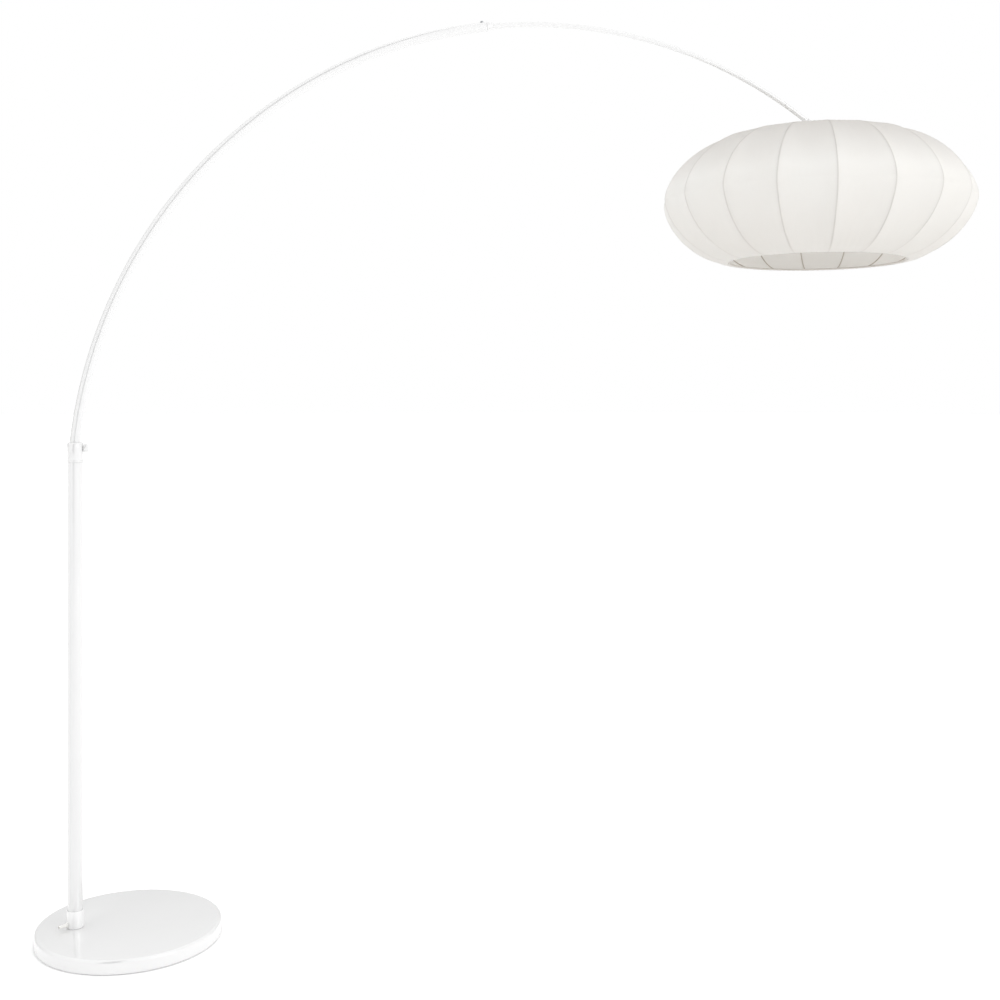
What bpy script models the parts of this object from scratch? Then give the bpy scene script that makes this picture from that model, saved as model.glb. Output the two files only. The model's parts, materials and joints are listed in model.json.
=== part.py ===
"""Arc floor lamp: a weighted disc base, an upright post, a two-stage curved arm and a ribbed fabric shade.

Metres, +Z up. The origin is the centre of the base's underside, where it meets the floor. The arm curves
in the XZ plane and reaches towards +X. Each moving body hangs from an empty that stands on its joint axis.
"""

import math

import bmesh
import bpy
from mathutils import Matrix, Vector

GAP = 0.0003  # air between faces that touch on the real lamp
SLIDE_FIT = 0.0004  # radial play between pieces that slide or turn on each other
THREAD_FIT = 0.0003  # radial play between a plain screw shank and its hole

# Base
BASE_RADIUS = 0.200
BASE_HEIGHT = 0.030
COVER_WALL = 0.0015
RIM_ROUND = 0.006
SKIRT_LIFT = 0.0015  # the cover's edge stays clear of the floor
PAD_THICKNESS = 0.003
PAD_INSET = 0.012
WEIGHT_THICKNESS = 0.016
WEIGHT_INSET = 0.006  # from the cover's inner wall
WEIGHT_RIB_WIDTH = 0.010
BOSS_RADIUS = 0.028

# Base bolt, M10
BOLT_DIAMETER = 0.010
BOLT_HEAD_RADIUS = 0.0095
BOLT_HEAD_HEIGHT = 0.0064
BOLT_HEAD_LIFT = 0.0020  # from the floor to the bolt's head
WASHER_RADIUS = 0.015
WASHER_THICKNESS = 0.002
SPRING_WASHER_RADIUS = 0.009
SPRING_WASHER_THICKNESS = 0.0025
COUNTERBORE_CLEARANCE = 0.002

# Post and its socket
POST_X = -0.115
POST_DIAMETER = 0.032
POST_WALL = 0.0015
POST_LENGTH = 1.017
SOCKET_WALL = 0.0022
SOCKET_HEIGHT = 0.038
SOCKET_FLOOR = 0.003
PLUG_HEIGHT = 0.018
PLUG_LIFT = 0.022  # from the socket's floor to the plug in the post's foot

# Cord gland in the socket, and the lead inside the lamp
GLAND_ANGLE = math.radians(-145)
GLAND_RADIUS = 0.0040
GLAND_FLANGE_RADIUS = 0.0055
GLAND_FLANGE = 0.003
GLAND_LENGTH = 0.020
LEAD_RADIUS = 0.0024
LEAD_BEND = 0.0055
LEAD_OFFSET = 0.0095  # from the post's axis, where the lead passes the plug
LEAD_TOP_SLACK = 0.020  # from the post's lead to the bush under the arm

# Collar on the post, with the arm's swivel
COLLAR_DIAMETER = 0.0335
COLLAR_HEIGHT = 0.044
COLLAR_CHAMFER = 0.0025
COLLAR_SPIGOT = 0.030
KNOB_DROP = 0.013  # from the collar's top to the lock knob's axis
KNOB_SHANK_RADIUS = 0.003
KNOB_RADIUS = 0.009
KNOB_LENGTH = 0.0085
KNOB_STANDOFF = 0.001
SWIVEL_DEPTH = 0.135  # from the collar's top to the arm's foot
SWIVEL_BUSH_HEIGHT = 0.030
SWIVEL_LEDGE = 0.006
SWIVEL_LEDGE_BORE = 0.008

# Curved arm
ARM_DIAMETER = 0.022
ARM_WALL = 0.0012
STEM_DROP = 0.008  # from the collar's top to the joint between the stem and the curved tube
STEM_SPIGOT = 0.009
STEM_SPIGOT_WALL = 0.0020
ARC_RADIUS = 1.100
ARC_LEAN = math.radians(6.5)  # tilt of the arm where it leaves the collar
KNEE_RADIUS = 0.060
KNEE_LIFT = 0.005  # from the collar's top to the middle of the arm's small bend
MOUTH_ANGLE = math.radians(81)  # all arm angles are measured up from the arc's level start
NOSE_LENGTH = 0.016
NOSE_LIP = 0.0015
NOSE_SPIGOT = 0.020
NOSE_SPIGOT_PLAY = 0.0007  # inside the curved tube, taken up by the nose's glue
NOSE_PLAY = 0.0008  # round the rod, because the rod is curved and the bore is straight
LOCK_SCREW_RADIUS = 0.0020
LOCK_SCREW_HEAD_RADIUS = 0.0038
LOCK_SCREW_HEAD = 0.0035
LOCK_SCREW_SETBACK = 0.009  # from the tube's end

# Sliding rod
ROD_DIAMETER = 0.012
ROD_WALL = 0.001
ROD_TAIL_ANGLE = math.radians(66)
PIVOT_ANGLE = math.radians(126.7)
LEAD_TAIL_ANGLE = math.radians(28)

# Swivel knuckle at the rod's end
EYE_RADIUS = 0.008
EYE_THICKNESS = 0.007
SLEEVE_WALL = 0.0018
SLEEVE_PLAY = 0.0004  # round the rod, filled by the braze on the real lamp
SLEEVE_LENGTH = 0.022
SLEEVE_SETBACK = 0.009  # from the pivot to the sleeve's closed end
CHEEK_THICKNESS = 0.004
CHEEK_DROP = 0.0135
BRIDGE_HEIGHT = 0.006
HUB_RADIUS = 0.008
HUB_HEIGHT = 0.0045
PIVOT_BOLT_RADIUS = 0.0025
PIVOT_HEAD_RADIUS = 0.0046
PIVOT_HEAD = 0.0035
TILT_KNOB_RADIUS = 0.008
TILT_KNOB_LENGTH = 0.009

# Threaded nipple and lampholder, E27
NIPPLE_RADIUS = 0.005
NIPPLE_BORE = 0.0035
NIPPLE_LENGTH = 0.0205
NIPPLE_GRIP = 0.0085  # the length held in the knuckle's hub
NUT_HEIGHT = 0.004
NUT_RADIUS = 0.0085
CAP_HEIGHT = 0.020
HOLDER_RADIUS = 0.0195
HOLDER_WALL = 0.002
HOLDER_HEIGHT = 0.033
SHADE_RING_RADIUS = 0.028
SHADE_RING_THICKNESS = 0.004
SHADE_RING_DROP = 0.0065  # from the top of the holder's body to the upper ring
INSERT_HEIGHT = 0.011
SCREW_SHELL_RADIUS = 0.0142
SCREW_SHELL_WALL = 0.0006
SCREW_SHELL_HEIGHT = 0.019
CONTACT_RADIUS = 0.004
CONTACT_HEIGHT = 0.0015

# LED bulb
BULB_CAP_RADIUS = 0.0130
BULB_CAP_HEIGHT = 0.022
BULB_TIP_RADIUS = 0.0050
BULB_TIP_HEIGHT = 0.0030
BULB_RADIUS = 0.030
BULB_COLLAR_HEIGHT = 0.040
BULB_DOME_HEIGHT = 0.044
BULB_WALL = 0.0012
LED_PLATE_THICKNESS = 0.0016

# Shade
SHADE_RADIUS = 0.375
SHADE_TOP_DROP = 0.0197  # from the knuckle's pivot to the top ring
SHADE_RISE = 0.158
SHADE_FALL = 0.148
SHADE_POWER = 1.2  # an ellipse has 1, and a higher power draws the shoulders in
TOP_RING_RADIUS = 0.175
BOTTOM_RING_RADIUS = 0.212
RING_WIRE = 0.0020
RIB_COUNT = 18
RIB_WIRE = 0.00125
RIB_PHASE = math.radians(11.8)
FITTER_WIDTH = 0.006
FITTER_THICKNESS = 0.0015
SPIDER_ARMS = 3
SPIDER_WIRE = 0.0020
FABRIC_WALL = 0.0010
FABRIC_SAG = 0.006
FABRIC_BLEND = 0.30  # share of the profile over which the sag grows from a ring

# Fineness of the round shapes
BASE_SEGMENTS = 64
TUBE_SEGMENTS = 24
SMALL_SEGMENTS = 16
PROFILE_STEPS = 12
PANEL_STEPS = 3

# Places that follow from the sizes above
COVER_UNDERSIDE = BASE_HEIGHT - COVER_WALL
SOCKET_FOOT = BASE_HEIGHT + GAP
POST_FOOT = SOCKET_FOOT + SOCKET_FLOOR + GAP
POST_TOP = POST_FOOT + POST_LENGTH
POST_BORE = POST_DIAMETER / 2 - POST_WALL
GLAND_Z = POST_FOOT + GLAND_RADIUS + 0.0008
COLLAR_SEAT = POST_TOP + GAP
COLLAR_TOP = COLLAR_SEAT + COLLAR_HEIGHT
ARM_BORE = ARM_DIAMETER / 2 - ARM_WALL
COLLAR_BORE = ARM_DIAMETER / 2 + SLIDE_FIT
ARM_FOOT = COLLAR_TOP - SWIVEL_DEPTH
KNEE_Z = COLLAR_TOP + KNEE_LIFT
ARC_CENTRE = Vector((ARC_RADIUS * math.cos(ARC_LEAN), 0, KNEE_Z - ARC_RADIUS * math.sin(ARC_LEAN)))
ROD_BORE = ROD_DIAMETER / 2 - ROD_WALL
HOLDER_TOP = -(CHEEK_DROP + BRIDGE_HEIGHT + HUB_HEIGHT) - 0.002
BODY_TOP = HOLDER_TOP - CAP_HEIGHT - GAP
UPPER_RING_TOP = BODY_TOP - SHADE_RING_DROP
FITTER_TOP = UPPER_RING_TOP - SHADE_RING_THICKNESS - GAP
EQUATOR_Z = -SHADE_TOP_DROP - SHADE_RISE
COVER_OFFSET = RIB_WIRE + GAP


def clear_scene():
    """Remove whatever the scene holds."""
    for obj in list(bpy.data.objects):
        bpy.data.objects.remove(obj, do_unlink=True)


def make_material(name, colour, roughness, metallic=0.0):
    """A Principled BSDF material of one linear colour."""
    material = bpy.data.materials.new(name)
    material.use_nodes = True
    shader = material.node_tree.nodes["Principled BSDF"]
    shader.inputs["Base Color"].default_value = (*colour, 1.0)
    shader.inputs["Roughness"].default_value = roughness
    shader.inputs["Metallic"].default_value = metallic
    return material


def make_materials():
    """Every finish of the lamp, by name."""
    return {
        "white_enamel": make_material("white_enamel", (0.86, 0.86, 0.85), 0.30),
        "cast_iron": make_material("cast_iron", (0.10, 0.10, 0.11), 0.70, 1.0),
        "zinc": make_material("zinc", (0.62, 0.63, 0.65), 0.40, 1.0),
        "white_plastic": make_material("white_plastic", (0.80, 0.80, 0.78), 0.45),
        "rubber": make_material("rubber", (0.04, 0.04, 0.04), 0.85),
        "lead_sheath": make_material("lead_sheath", (0.75, 0.75, 0.73), 0.55),
        "brass": make_material("brass", (0.78, 0.57, 0.25), 0.30, 1.0),
        "ceramic": make_material("ceramic", (0.82, 0.80, 0.76), 0.35),
        "frame_wire": make_material("frame_wire", (0.70, 0.69, 0.66), 0.40),
        "fabric": make_material("fabric", (0.84, 0.81, 0.76), 0.85),
        "opal": make_material("opal", (0.88, 0.87, 0.84), 0.30),
    }


def make_axis(name, parent, location):
    """An empty that marks a body's frame or a joint's axis."""
    empty = bpy.data.objects.new(name, None)
    bpy.context.scene.collection.objects.link(empty)
    empty.parent = parent
    empty.location = location
    return empty


def finish(bm, name, parent, material, matrix=None):
    """Turn a bmesh into a named object under its parent, smooth on its round faces."""
    bmesh.ops.remove_doubles(bm, verts=bm.verts, dist=1e-7)
    bmesh.ops.recalc_face_normals(bm, faces=bm.faces)
    mesh = bpy.data.meshes.new(name)
    bm.to_mesh(mesh)
    bm.free()
    mesh.shade_smooth()
    mesh.set_sharp_from_angle(angle=math.radians(35))
    obj = bpy.data.objects.new(name, mesh)
    bpy.context.scene.collection.objects.link(obj)
    obj.parent = parent
    if matrix is not None:
        obj.matrix_local = matrix
    if material is not None:
        mesh.materials.append(material)
    return obj


def turned(name, profile, parent, material, segments=TUBE_SEGMENTS, matrix=None):
    """A solid of revolution about its own Z axis from a closed outline of (radius, height) points."""
    bm = bmesh.new()
    points = [bm.verts.new((radius, 0, height)) for radius, height in profile]
    edges = [bm.edges.new((a, b)) for a, b in zip(points, points[1:])]
    if profile[0][0] > 0 or profile[-1][0] > 0:
        edges.append(bm.edges.new((points[-1], points[0])))
    bmesh.ops.spin(
        bm, geom=points + edges, cent=(0, 0, 0), axis=(0, 0, 1), angle=math.tau, steps=segments, use_merge=True
    )
    return finish(bm, name, parent, material, matrix)


def washer_profile(inner, outer, low, high):
    """The closed outline of a plain ring."""
    return [(inner, high), (outer, high), (outer, low), (inner, low)]


def disc_profile(outer, low, high):
    """The open outline of a solid disc, from its top centre to its bottom centre."""
    return [(0, high), (outer, high), (outer, low), (0, low)]


def add_annulus(bm, outer, inner, sides, matrix):
    """A flat ring face set across the path of a tube, ready to be extruded."""
    loops = []
    for radius in (outer, inner):
        circle = bmesh.ops.create_circle(bm, cap_ends=False, segments=sides, radius=radius, matrix=matrix)
        loops.append(circle["verts"])
    edges = [edge for edge in bm.edges if edge.is_wire]
    bmesh.ops.bridge_loops(bm, edges=edges)
    return bm.verts[:] + bm.edges[:] + bm.faces[:]


def spin_on(bm, geometry, centre, angle, steps):
    """Carry a cross-section round an axis parallel to Y. A positive angle turns +Z towards +X."""
    result = bmesh.ops.spin(
        bm, geom=geometry, cent=centre, axis=(0, 1, 0), angle=angle, steps=steps, use_merge=False
    )
    return result["geom_last"]


def bent_rod(name, points, radius, parent, material, resolution=2, matrix=None):
    """A solid round wire or lead through the given points, with closed ends."""
    curve = bpy.data.curves.new(name, "CURVE")
    curve.dimensions = "3D"
    curve.bevel_depth = radius
    curve.bevel_resolution = resolution
    curve.use_fill_caps = True
    spline = curve.splines.new("POLY")
    spline.points.add(len(points) - 1)
    for target, point in zip(spline.points, points):
        target.co = (*point, 1.0)
    obj = bpy.data.objects.new(name, curve)
    bpy.context.scene.collection.objects.link(obj)
    obj.parent = parent
    if matrix is not None:
        obj.matrix_local = matrix
    curve.materials.append(material)
    return obj


def helper(obj):
    """Mark a cutter or a piece that is only joined on, so that it is no part of its own."""
    obj.hide_render = True
    obj.display_type = "WIRE"
    return obj


def combine(target, other, operation):
    """Cut another shape out of the target, or join it on."""
    modifier = target.modifiers.new(f"{operation.lower()}_{other.name}", "BOOLEAN")
    modifier.operation = operation
    modifier.solver = "EXACT"
    modifier.object = helper(other)


def drill(target, name, radius, start, end, segments=SMALL_SEGMENTS):
    """Cut a round hole between two points given in the frame of the target's parent."""
    start = Vector(start)
    run = Vector(end) - start
    matrix = Matrix.Translation(start) @ run.to_track_quat("Z", "Y").to_matrix().to_4x4()
    cutter = turned(name, disc_profile(radius, 0, run.length), target.parent, None, segments, matrix)
    combine(target, cutter, "DIFFERENCE")


def block(name, low, high, parent, material=None, matrix=None):
    """A box between two corners."""
    bm = bmesh.new()
    size = Vector(high) - Vector(low)
    middle = (Vector(high) + Vector(low)) / 2
    bmesh.ops.create_cube(bm, size=1.0, matrix=Matrix.Translation(middle) @ Matrix.Diagonal((*size, 1.0)))
    return finish(bm, name, parent, material, matrix)


def eye_plate(name, length, radius, thickness, parent, material, matrix):
    """A flat lug in its own XZ plane, round about the origin and straight-sided down to -length."""
    bm = bmesh.new()
    turns = [math.pi * step / SMALL_SEGMENTS for step in range(SMALL_SEGMENTS + 1)]
    outline = [(radius * math.cos(turn), radius * math.sin(turn)) for turn in turns]
    outline += [(-radius, -length), (radius, -length)]
    face = bm.faces.new([bm.verts.new((x, -thickness / 2, z)) for x, z in outline])
    grown = bmesh.ops.extrude_face_region(bm, geom=[face])
    moved = [item for item in grown["geom"] if isinstance(item, bmesh.types.BMVert)]
    bmesh.ops.translate(bm, verts=moved, vec=(0, thickness, 0))
    return finish(bm, name, parent, material, matrix)


def knurled(name, radius, low, high, bore, parent, material, matrix, notches=SMALL_SEGMENTS):
    """A finger knob along its own Z axis, fluted round its edge, with a blind bore from below."""
    flute = radius * 0.07
    bm = bmesh.new()
    outline = []
    for step in range(notches * 2):
        reach = radius - flute * (step % 2)
        turn = math.tau * step / (notches * 2)
        outline.append(bm.verts.new((reach * math.cos(turn), reach * math.sin(turn), low)))
    face = bm.faces.new(outline)
    grown = bmesh.ops.extrude_face_region(bm, geom=[face])
    moved = [item for item in grown["geom"] if isinstance(item, bmesh.types.BMVert)]
    bmesh.ops.translate(bm, verts=moved, vec=(0, 0, high - low))
    knob = finish(bm, name, parent, material, matrix)
    if bore:
        depth = (high - low) * 0.7
        cutter = turned(
            f"{name}_bore", disc_profile(bore, low - GAP, low + depth), parent, None, SMALL_SEGMENTS, matrix
        )
        combine(knob, cutter, "DIFFERENCE")
    return knob


def rounded_corner(radius, height, fillet, steps, inward):
    """Points of a quarter round from a flat top to an upright side, inset by the wall where inward."""
    points = []
    for step in range(steps + 1):
        turn = math.pi / 2 * step / steps
        reach = fillet - inward
        points.append((radius - fillet + reach * math.sin(turn), height - fillet + reach * math.cos(turn)))
    return points


def build_base(base, finishes):
    """The steel cover, the iron weight and the floor pad, with the holes for the post's bolt."""
    inner_wall = BASE_RADIUS - COVER_WALL
    outside = rounded_corner(BASE_RADIUS, BASE_HEIGHT, RIM_ROUND, 4, 0)
    inside = rounded_corner(BASE_RADIUS, BASE_HEIGHT, RIM_ROUND, 3, COVER_WALL)
    outline = [(0, BASE_HEIGHT)] + outside + [(BASE_RADIUS, SKIRT_LIFT), (inner_wall, SKIRT_LIFT)]
    outline += inside[::-1] + [(0, COVER_UNDERSIDE)]
    cover = turned("base_cover", outline, base, finishes["white_enamel"], BASE_SEGMENTS)

    weight_foot = PAD_THICKNESS + GAP
    weight_top = weight_foot + WEIGHT_THICKNESS
    weight_radius = inner_wall - WEIGHT_INSET
    rib_top = COVER_UNDERSIDE - GAP
    rib_outer = min(weight_radius, BASE_RADIUS - RIM_ROUND) - 2 * COVER_WALL
    rib_inner = rib_outer - WEIGHT_RIB_WIDTH
    outline = [(0, weight_top), (rib_inner, weight_top), (rib_inner, rib_top), (rib_outer, rib_top)]
    outline += [(weight_radius, weight_top), (weight_radius, weight_foot), (0, weight_foot)]
    weight = turned("base_weight", outline, base, finishes["cast_iron"], BASE_SEGMENTS)
    at_post = Matrix.Translation((POST_X, 0, 0))
    boss = turned(
        "base_weight_boss", disc_profile(BOSS_RADIUS, weight_top - COVER_WALL, rib_top), base, None,
        TUBE_SEGMENTS, at_post,
    )
    combine(weight, boss, "UNION")

    pad_outline = disc_profile(BASE_RADIUS - PAD_INSET, 0, PAD_THICKNESS)
    pad = turned("floor_pad", pad_outline, base, finishes["rubber"], BASE_SEGMENTS)

    bolt_hole = BOLT_DIAMETER / 2 + 2 * THREAD_FIT
    counterbore = WASHER_RADIUS + COUNTERBORE_CLEARANCE
    stack = BOLT_HEAD_LIFT + BOLT_HEAD_HEIGHT + SPRING_WASHER_THICKNESS + WASHER_THICKNESS + 3 * GAP
    drill(cover, "cover_bolt_hole", bolt_hole, (POST_X, 0, 0), (POST_X, 0, 2 * BASE_HEIGHT))
    drill(weight, "weight_bolt_hole", bolt_hole, (POST_X, 0, -GAP), (POST_X, 0, 2 * BASE_HEIGHT))
    drill(weight, "weight_counterbore", counterbore, (POST_X, 0, -GAP), (POST_X, 0, stack), TUBE_SEGMENTS)
    drill(pad, "pad_hole", counterbore, (POST_X, 0, -GAP), (POST_X, 0, BASE_HEIGHT), TUBE_SEGMENTS)
    return stack


def build_base_bolt(base, stack, finishes):
    """The M10 bolt that draws the post down on the base, with its two washers."""
    head_top = BOLT_HEAD_LIFT + BOLT_HEAD_HEIGHT
    shank = BOLT_DIAMETER / 2
    shank_top = POST_FOOT + PLUG_LIFT + PLUG_HEIGHT
    at_post = Matrix.Translation((POST_X, 0, 0))
    head = turned(
        "base_bolt", disc_profile(BOLT_HEAD_RADIUS, BOLT_HEAD_LIFT, head_top), base, finishes["zinc"], 6, at_post
    )
    stem = turned(
        "base_bolt_shank", disc_profile(shank, head_top - BOLT_HEAD_HEIGHT / 2, shank_top), base, None,
        SMALL_SEGMENTS, at_post,
    )
    combine(head, stem, "UNION")

    bore = shank + 2 * THREAD_FIT
    spring_low = head_top + GAP
    spring = turned(
        "bolt_spring_washer",
        washer_profile(bore, SPRING_WASHER_RADIUS, spring_low, spring_low + SPRING_WASHER_THICKNESS),
        base, finishes["zinc"], SMALL_SEGMENTS, at_post,
    )
    split = block(
        "spring_washer_split", (POST_X, -0.0008, 0), (POST_X + 2 * SPRING_WASHER_RADIUS, 0.0008, stack), base
    )
    combine(spring, split, "DIFFERENCE")
    washer_low = spring_low + SPRING_WASHER_THICKNESS + GAP
    turned(
        "bolt_washer", washer_profile(bore, WASHER_RADIUS, washer_low, washer_low + WASHER_THICKNESS),
        base, finishes["zinc"], SMALL_SEGMENTS, at_post,
    )


def build_post(base, finishes):
    """The socket, the post's tube and the threaded plug in its foot."""
    at_post = Matrix.Translation((POST_X, 0, 0))
    bolt_hole = BOLT_DIAMETER / 2 + 2 * THREAD_FIT
    socket_bore = POST_DIAMETER / 2 + GAP
    socket_radius = socket_bore + SOCKET_WALL
    socket_top = SOCKET_FOOT + SOCKET_HEIGHT
    chamfer = SOCKET_WALL / 2
    outline = [
        (socket_bore, socket_top), (socket_radius - chamfer, socket_top), (socket_radius, socket_top - chamfer),
        (socket_radius, SOCKET_FOOT), (bolt_hole, SOCKET_FOOT), (bolt_hole, SOCKET_FOOT + SOCKET_FLOOR),
        (socket_bore, SOCKET_FOOT + SOCKET_FLOOR),
    ]
    socket = turned("post_socket", outline, base, finishes["white_enamel"], TUBE_SEGMENTS, at_post)
    post = turned(
        "post_tube", washer_profile(POST_BORE, POST_DIAMETER / 2, POST_FOOT, POST_TOP), base,
        finishes["white_enamel"], TUBE_SEGMENTS, at_post,
    )
    plug_low = POST_FOOT + PLUG_LIFT
    plug = turned(
        "post_foot_plug", washer_profile(BOLT_DIAMETER / 2 + THREAD_FIT, POST_BORE - GAP, plug_low,
        plug_low + PLUG_HEIGHT), base, finishes["zinc"], TUBE_SEGMENTS, at_post,
    )

    out = Vector((math.cos(GLAND_ANGLE), math.sin(GLAND_ANGLE), 0))
    axis = Vector((POST_X, 0, GLAND_Z))
    hole = GLAND_RADIUS + GAP
    drill(socket, "socket_gland_hole", hole, axis + out * 0.008, axis + out * 2 * socket_radius)
    turned_to_gland = at_post @ Matrix.Rotation(GLAND_ANGLE, 4, "Z")
    notch = block(
        "post_gland_notch", (0.008, -hole, 0), (2 * socket_radius, hole, GLAND_Z + hole), base,
        matrix=turned_to_gland,
    )
    combine(post, notch, "DIFFERENCE")
    lead_way = Vector((POST_X, 0, 0)) + out * LEAD_OFFSET
    drill(
        plug, "plug_lead_hole", LEAD_RADIUS + 2 * GAP, lead_way + Vector((0, 0, plug_low - GAP)),
        lead_way + Vector((0, 0, plug_low + PLUG_HEIGHT + GAP)),
    )
    return socket_radius


def build_gland_and_lead(base, socket_radius, finishes):
    """The bush where the mains cord would enter, and the lead that runs on from it up the post."""
    outward = Matrix.Translation((POST_X, 0, GLAND_Z)) @ Matrix.Rotation(GLAND_ANGLE, 4, "Z")
    along = outward @ Matrix.Rotation(math.pi / 2, 4, "Y")
    bore = LEAD_RADIUS + GAP
    tip = socket_radius + GAP + GLAND_LENGTH
    flange = socket_radius + GAP
    outline = [
        (bore, tip), (GLAND_RADIUS * 0.86, tip), (GLAND_RADIUS, tip - 0.004), (GLAND_RADIUS, flange + GLAND_FLANGE),
        (GLAND_FLANGE_RADIUS, flange + GLAND_FLANGE * 0.7), (GLAND_FLANGE_RADIUS, flange),
        (GLAND_RADIUS, flange), (GLAND_RADIUS, POST_BORE + GAP), (bore, POST_BORE + GAP),
    ]
    turned("cord_gland", outline, base, finishes["white_plastic"], SMALL_SEGMENTS, along)

    bend_start = LEAD_OFFSET + LEAD_BEND
    route = [(tip - 0.004, 0), (bend_start, 0)]
    for step in range(1, 7):
        turn = math.pi / 2 * step / 6
        route.append((bend_start - LEAD_BEND * math.sin(turn), LEAD_BEND * (1 - math.cos(turn))))
    rise = POST_FOOT + PLUG_LIFT + PLUG_HEIGHT - GLAND_Z
    route.append((LEAD_OFFSET, rise))
    for step in range(1, 7):
        share = step / 6
        ease = share * share * (3 - 2 * share)
        route.append((LEAD_OFFSET * (1 - ease), rise + 0.12 * share))
    route.append((0, ARM_FOOT - SWIVEL_LEDGE - LEAD_TOP_SLACK - GLAND_Z))
    points = [(x, 0, z) for x, z in route]
    bent_rod("supply_lead_post", points, LEAD_RADIUS, base, finishes["lead_sheath"], matrix=outward)


def build_collar(base, finishes):
    """The collar on the post's top and the bush that carries the arm's foot."""
    at_post = Matrix.Translation((POST_X, 0, 0))
    outer = COLLAR_DIAMETER / 2
    spigot = POST_BORE - GAP
    outline = [
        (COLLAR_BORE, COLLAR_TOP), (outer - COLLAR_CHAMFER, COLLAR_TOP), (outer, COLLAR_TOP - COLLAR_CHAMFER),
        (outer, COLLAR_SEAT), (spigot, COLLAR_SEAT), (spigot, COLLAR_SEAT - COLLAR_SPIGOT),
        (COLLAR_BORE, COLLAR_SEAT - COLLAR_SPIGOT),
    ]
    collar = turned("arm_collar", outline, base, finishes["white_enamel"], TUBE_SEGMENTS, at_post)
    knob_z = COLLAR_TOP - KNOB_DROP
    drill(
        collar, "collar_screw_hole", KNOB_SHANK_RADIUS + THREAD_FIT, (POST_X + ARM_BORE, 0, knob_z),
        (POST_X + 2 * outer, 0, knob_z),
    )
    ledge = ARM_FOOT - GAP
    outline = [
        (COLLAR_BORE, ledge + SWIVEL_BUSH_HEIGHT), (spigot, ledge + SWIVEL_BUSH_HEIGHT),
        (spigot, ledge - SWIVEL_LEDGE), (SWIVEL_LEDGE_BORE, ledge - SWIVEL_LEDGE), (SWIVEL_LEDGE_BORE, ledge),
        (COLLAR_BORE, ledge),
    ]
    turned("swivel_bush", outline, base, finishes["white_plastic"], TUBE_SEGMENTS, at_post)
    return knob_z


def build_collar_knob(knob_axis, finishes):
    """The thumbscrew that locks the arm's swivel: a fluted head on a plain shank, along +X."""
    along_x = Matrix.Rotation(math.pi / 2, 4, "Y")
    head_low = COLLAR_DIAMETER / 2 + KNOB_STANDOFF
    tip = ARM_DIAMETER / 2 + 2 * GAP
    knob = knurled(
        "collar_lock_knob", KNOB_RADIUS, head_low, head_low + KNOB_LENGTH, None, knob_axis,
        finishes["white_enamel"], along_x,
    )
    shank = turned(
        "collar_lock_shank", disc_profile(KNOB_SHANK_RADIUS, tip, head_low + KNOB_LENGTH / 2), knob_axis, None,
        SMALL_SEGMENTS, along_x,
    )
    combine(knob, shank, "UNION")


def build_arm(arm, finishes):
    """The thick arm: a straight stem in the post, a long arc with a small bend at its foot, and its nose."""
    stem_top = COLLAR_TOP - STEM_DROP
    spigot = ARM_BORE - GAP
    bore = spigot - STEM_SPIGOT_WALL
    outline = [
        (bore, stem_top + STEM_SPIGOT), (spigot, stem_top + STEM_SPIGOT), (spigot, stem_top),
        (ARM_DIAMETER / 2, stem_top), (ARM_DIAMETER / 2, ARM_FOOT), (bore, ARM_FOOT),
    ]
    turned("arm_stem", outline, arm, finishes["white_enamel"], SMALL_SEGMENTS)
    bm = bmesh.new()
    start = Matrix.Translation((0, 0, stem_top + GAP))
    section = add_annulus(bm, ARM_DIAMETER / 2, ARM_BORE, SMALL_SEGMENTS, start)
    tangent = KNEE_RADIUS * math.tan(ARC_LEAN / 2)
    faces = [item for item in section if isinstance(item, bmesh.types.BMFace)]
    grown = bmesh.ops.extrude_face_region(bm, geom=faces)["geom"]
    moved = [item for item in grown if isinstance(item, bmesh.types.BMVert)]
    bmesh.ops.translate(bm, verts=moved, vec=(0, 0, KNEE_Z - tangent - stem_top - GAP))
    last = spin_on(bm, grown, (KNEE_RADIUS, 0, KNEE_Z - tangent), ARC_LEAN, 3)
    along = tangent / ARC_RADIUS
    spin_on(bm, last, ARC_CENTRE, MOUTH_ANGLE - ARC_LEAN - along, 36)
    tube = finish(bm, "arc_tube", arm, finishes["white_enamel"])

    at_mouth = frame_on_arc(MOUTH_ANGLE)
    spigot = ARM_BORE - NOSE_SPIGOT_PLAY
    bore = ROD_DIAMETER / 2 + NOSE_PLAY
    outline = [
        (bore, NOSE_LENGTH), (bore + NOSE_LIP, NOSE_LENGTH), (ARM_DIAMETER / 2, NOSE_LIP),
        (ARM_DIAMETER / 2, GAP), (spigot, GAP), (spigot, -NOSE_SPIGOT), (bore, -NOSE_SPIGOT),
    ]
    nose = turned("arm_nose_bush", outline, arm, finishes["white_enamel"], TUBE_SEGMENTS, at_mouth)
    at_screw = at_mouth @ Matrix.Translation((0, 0, -LOCK_SCREW_SETBACK))
    hole = LOCK_SCREW_RADIUS + THREAD_FIT
    low = at_screw @ Vector((-ROD_BORE, 0, 0))
    high = at_screw @ Vector((-ARM_DIAMETER, 0, 0))
    drill(tube, "tube_screw_hole", hole, low, high)
    drill(nose, "nose_screw_hole", hole, low, high)


def frame_on_arc(angle):
    """A frame on the arm's centreline: Z runs on along the rod, and -X points out of the curve."""
    turn = Matrix.Rotation(angle, 4, "Y")
    return Matrix.Translation(ARC_CENTRE) @ turn @ Matrix.Translation((-ARC_RADIUS, 0, 0))


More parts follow.
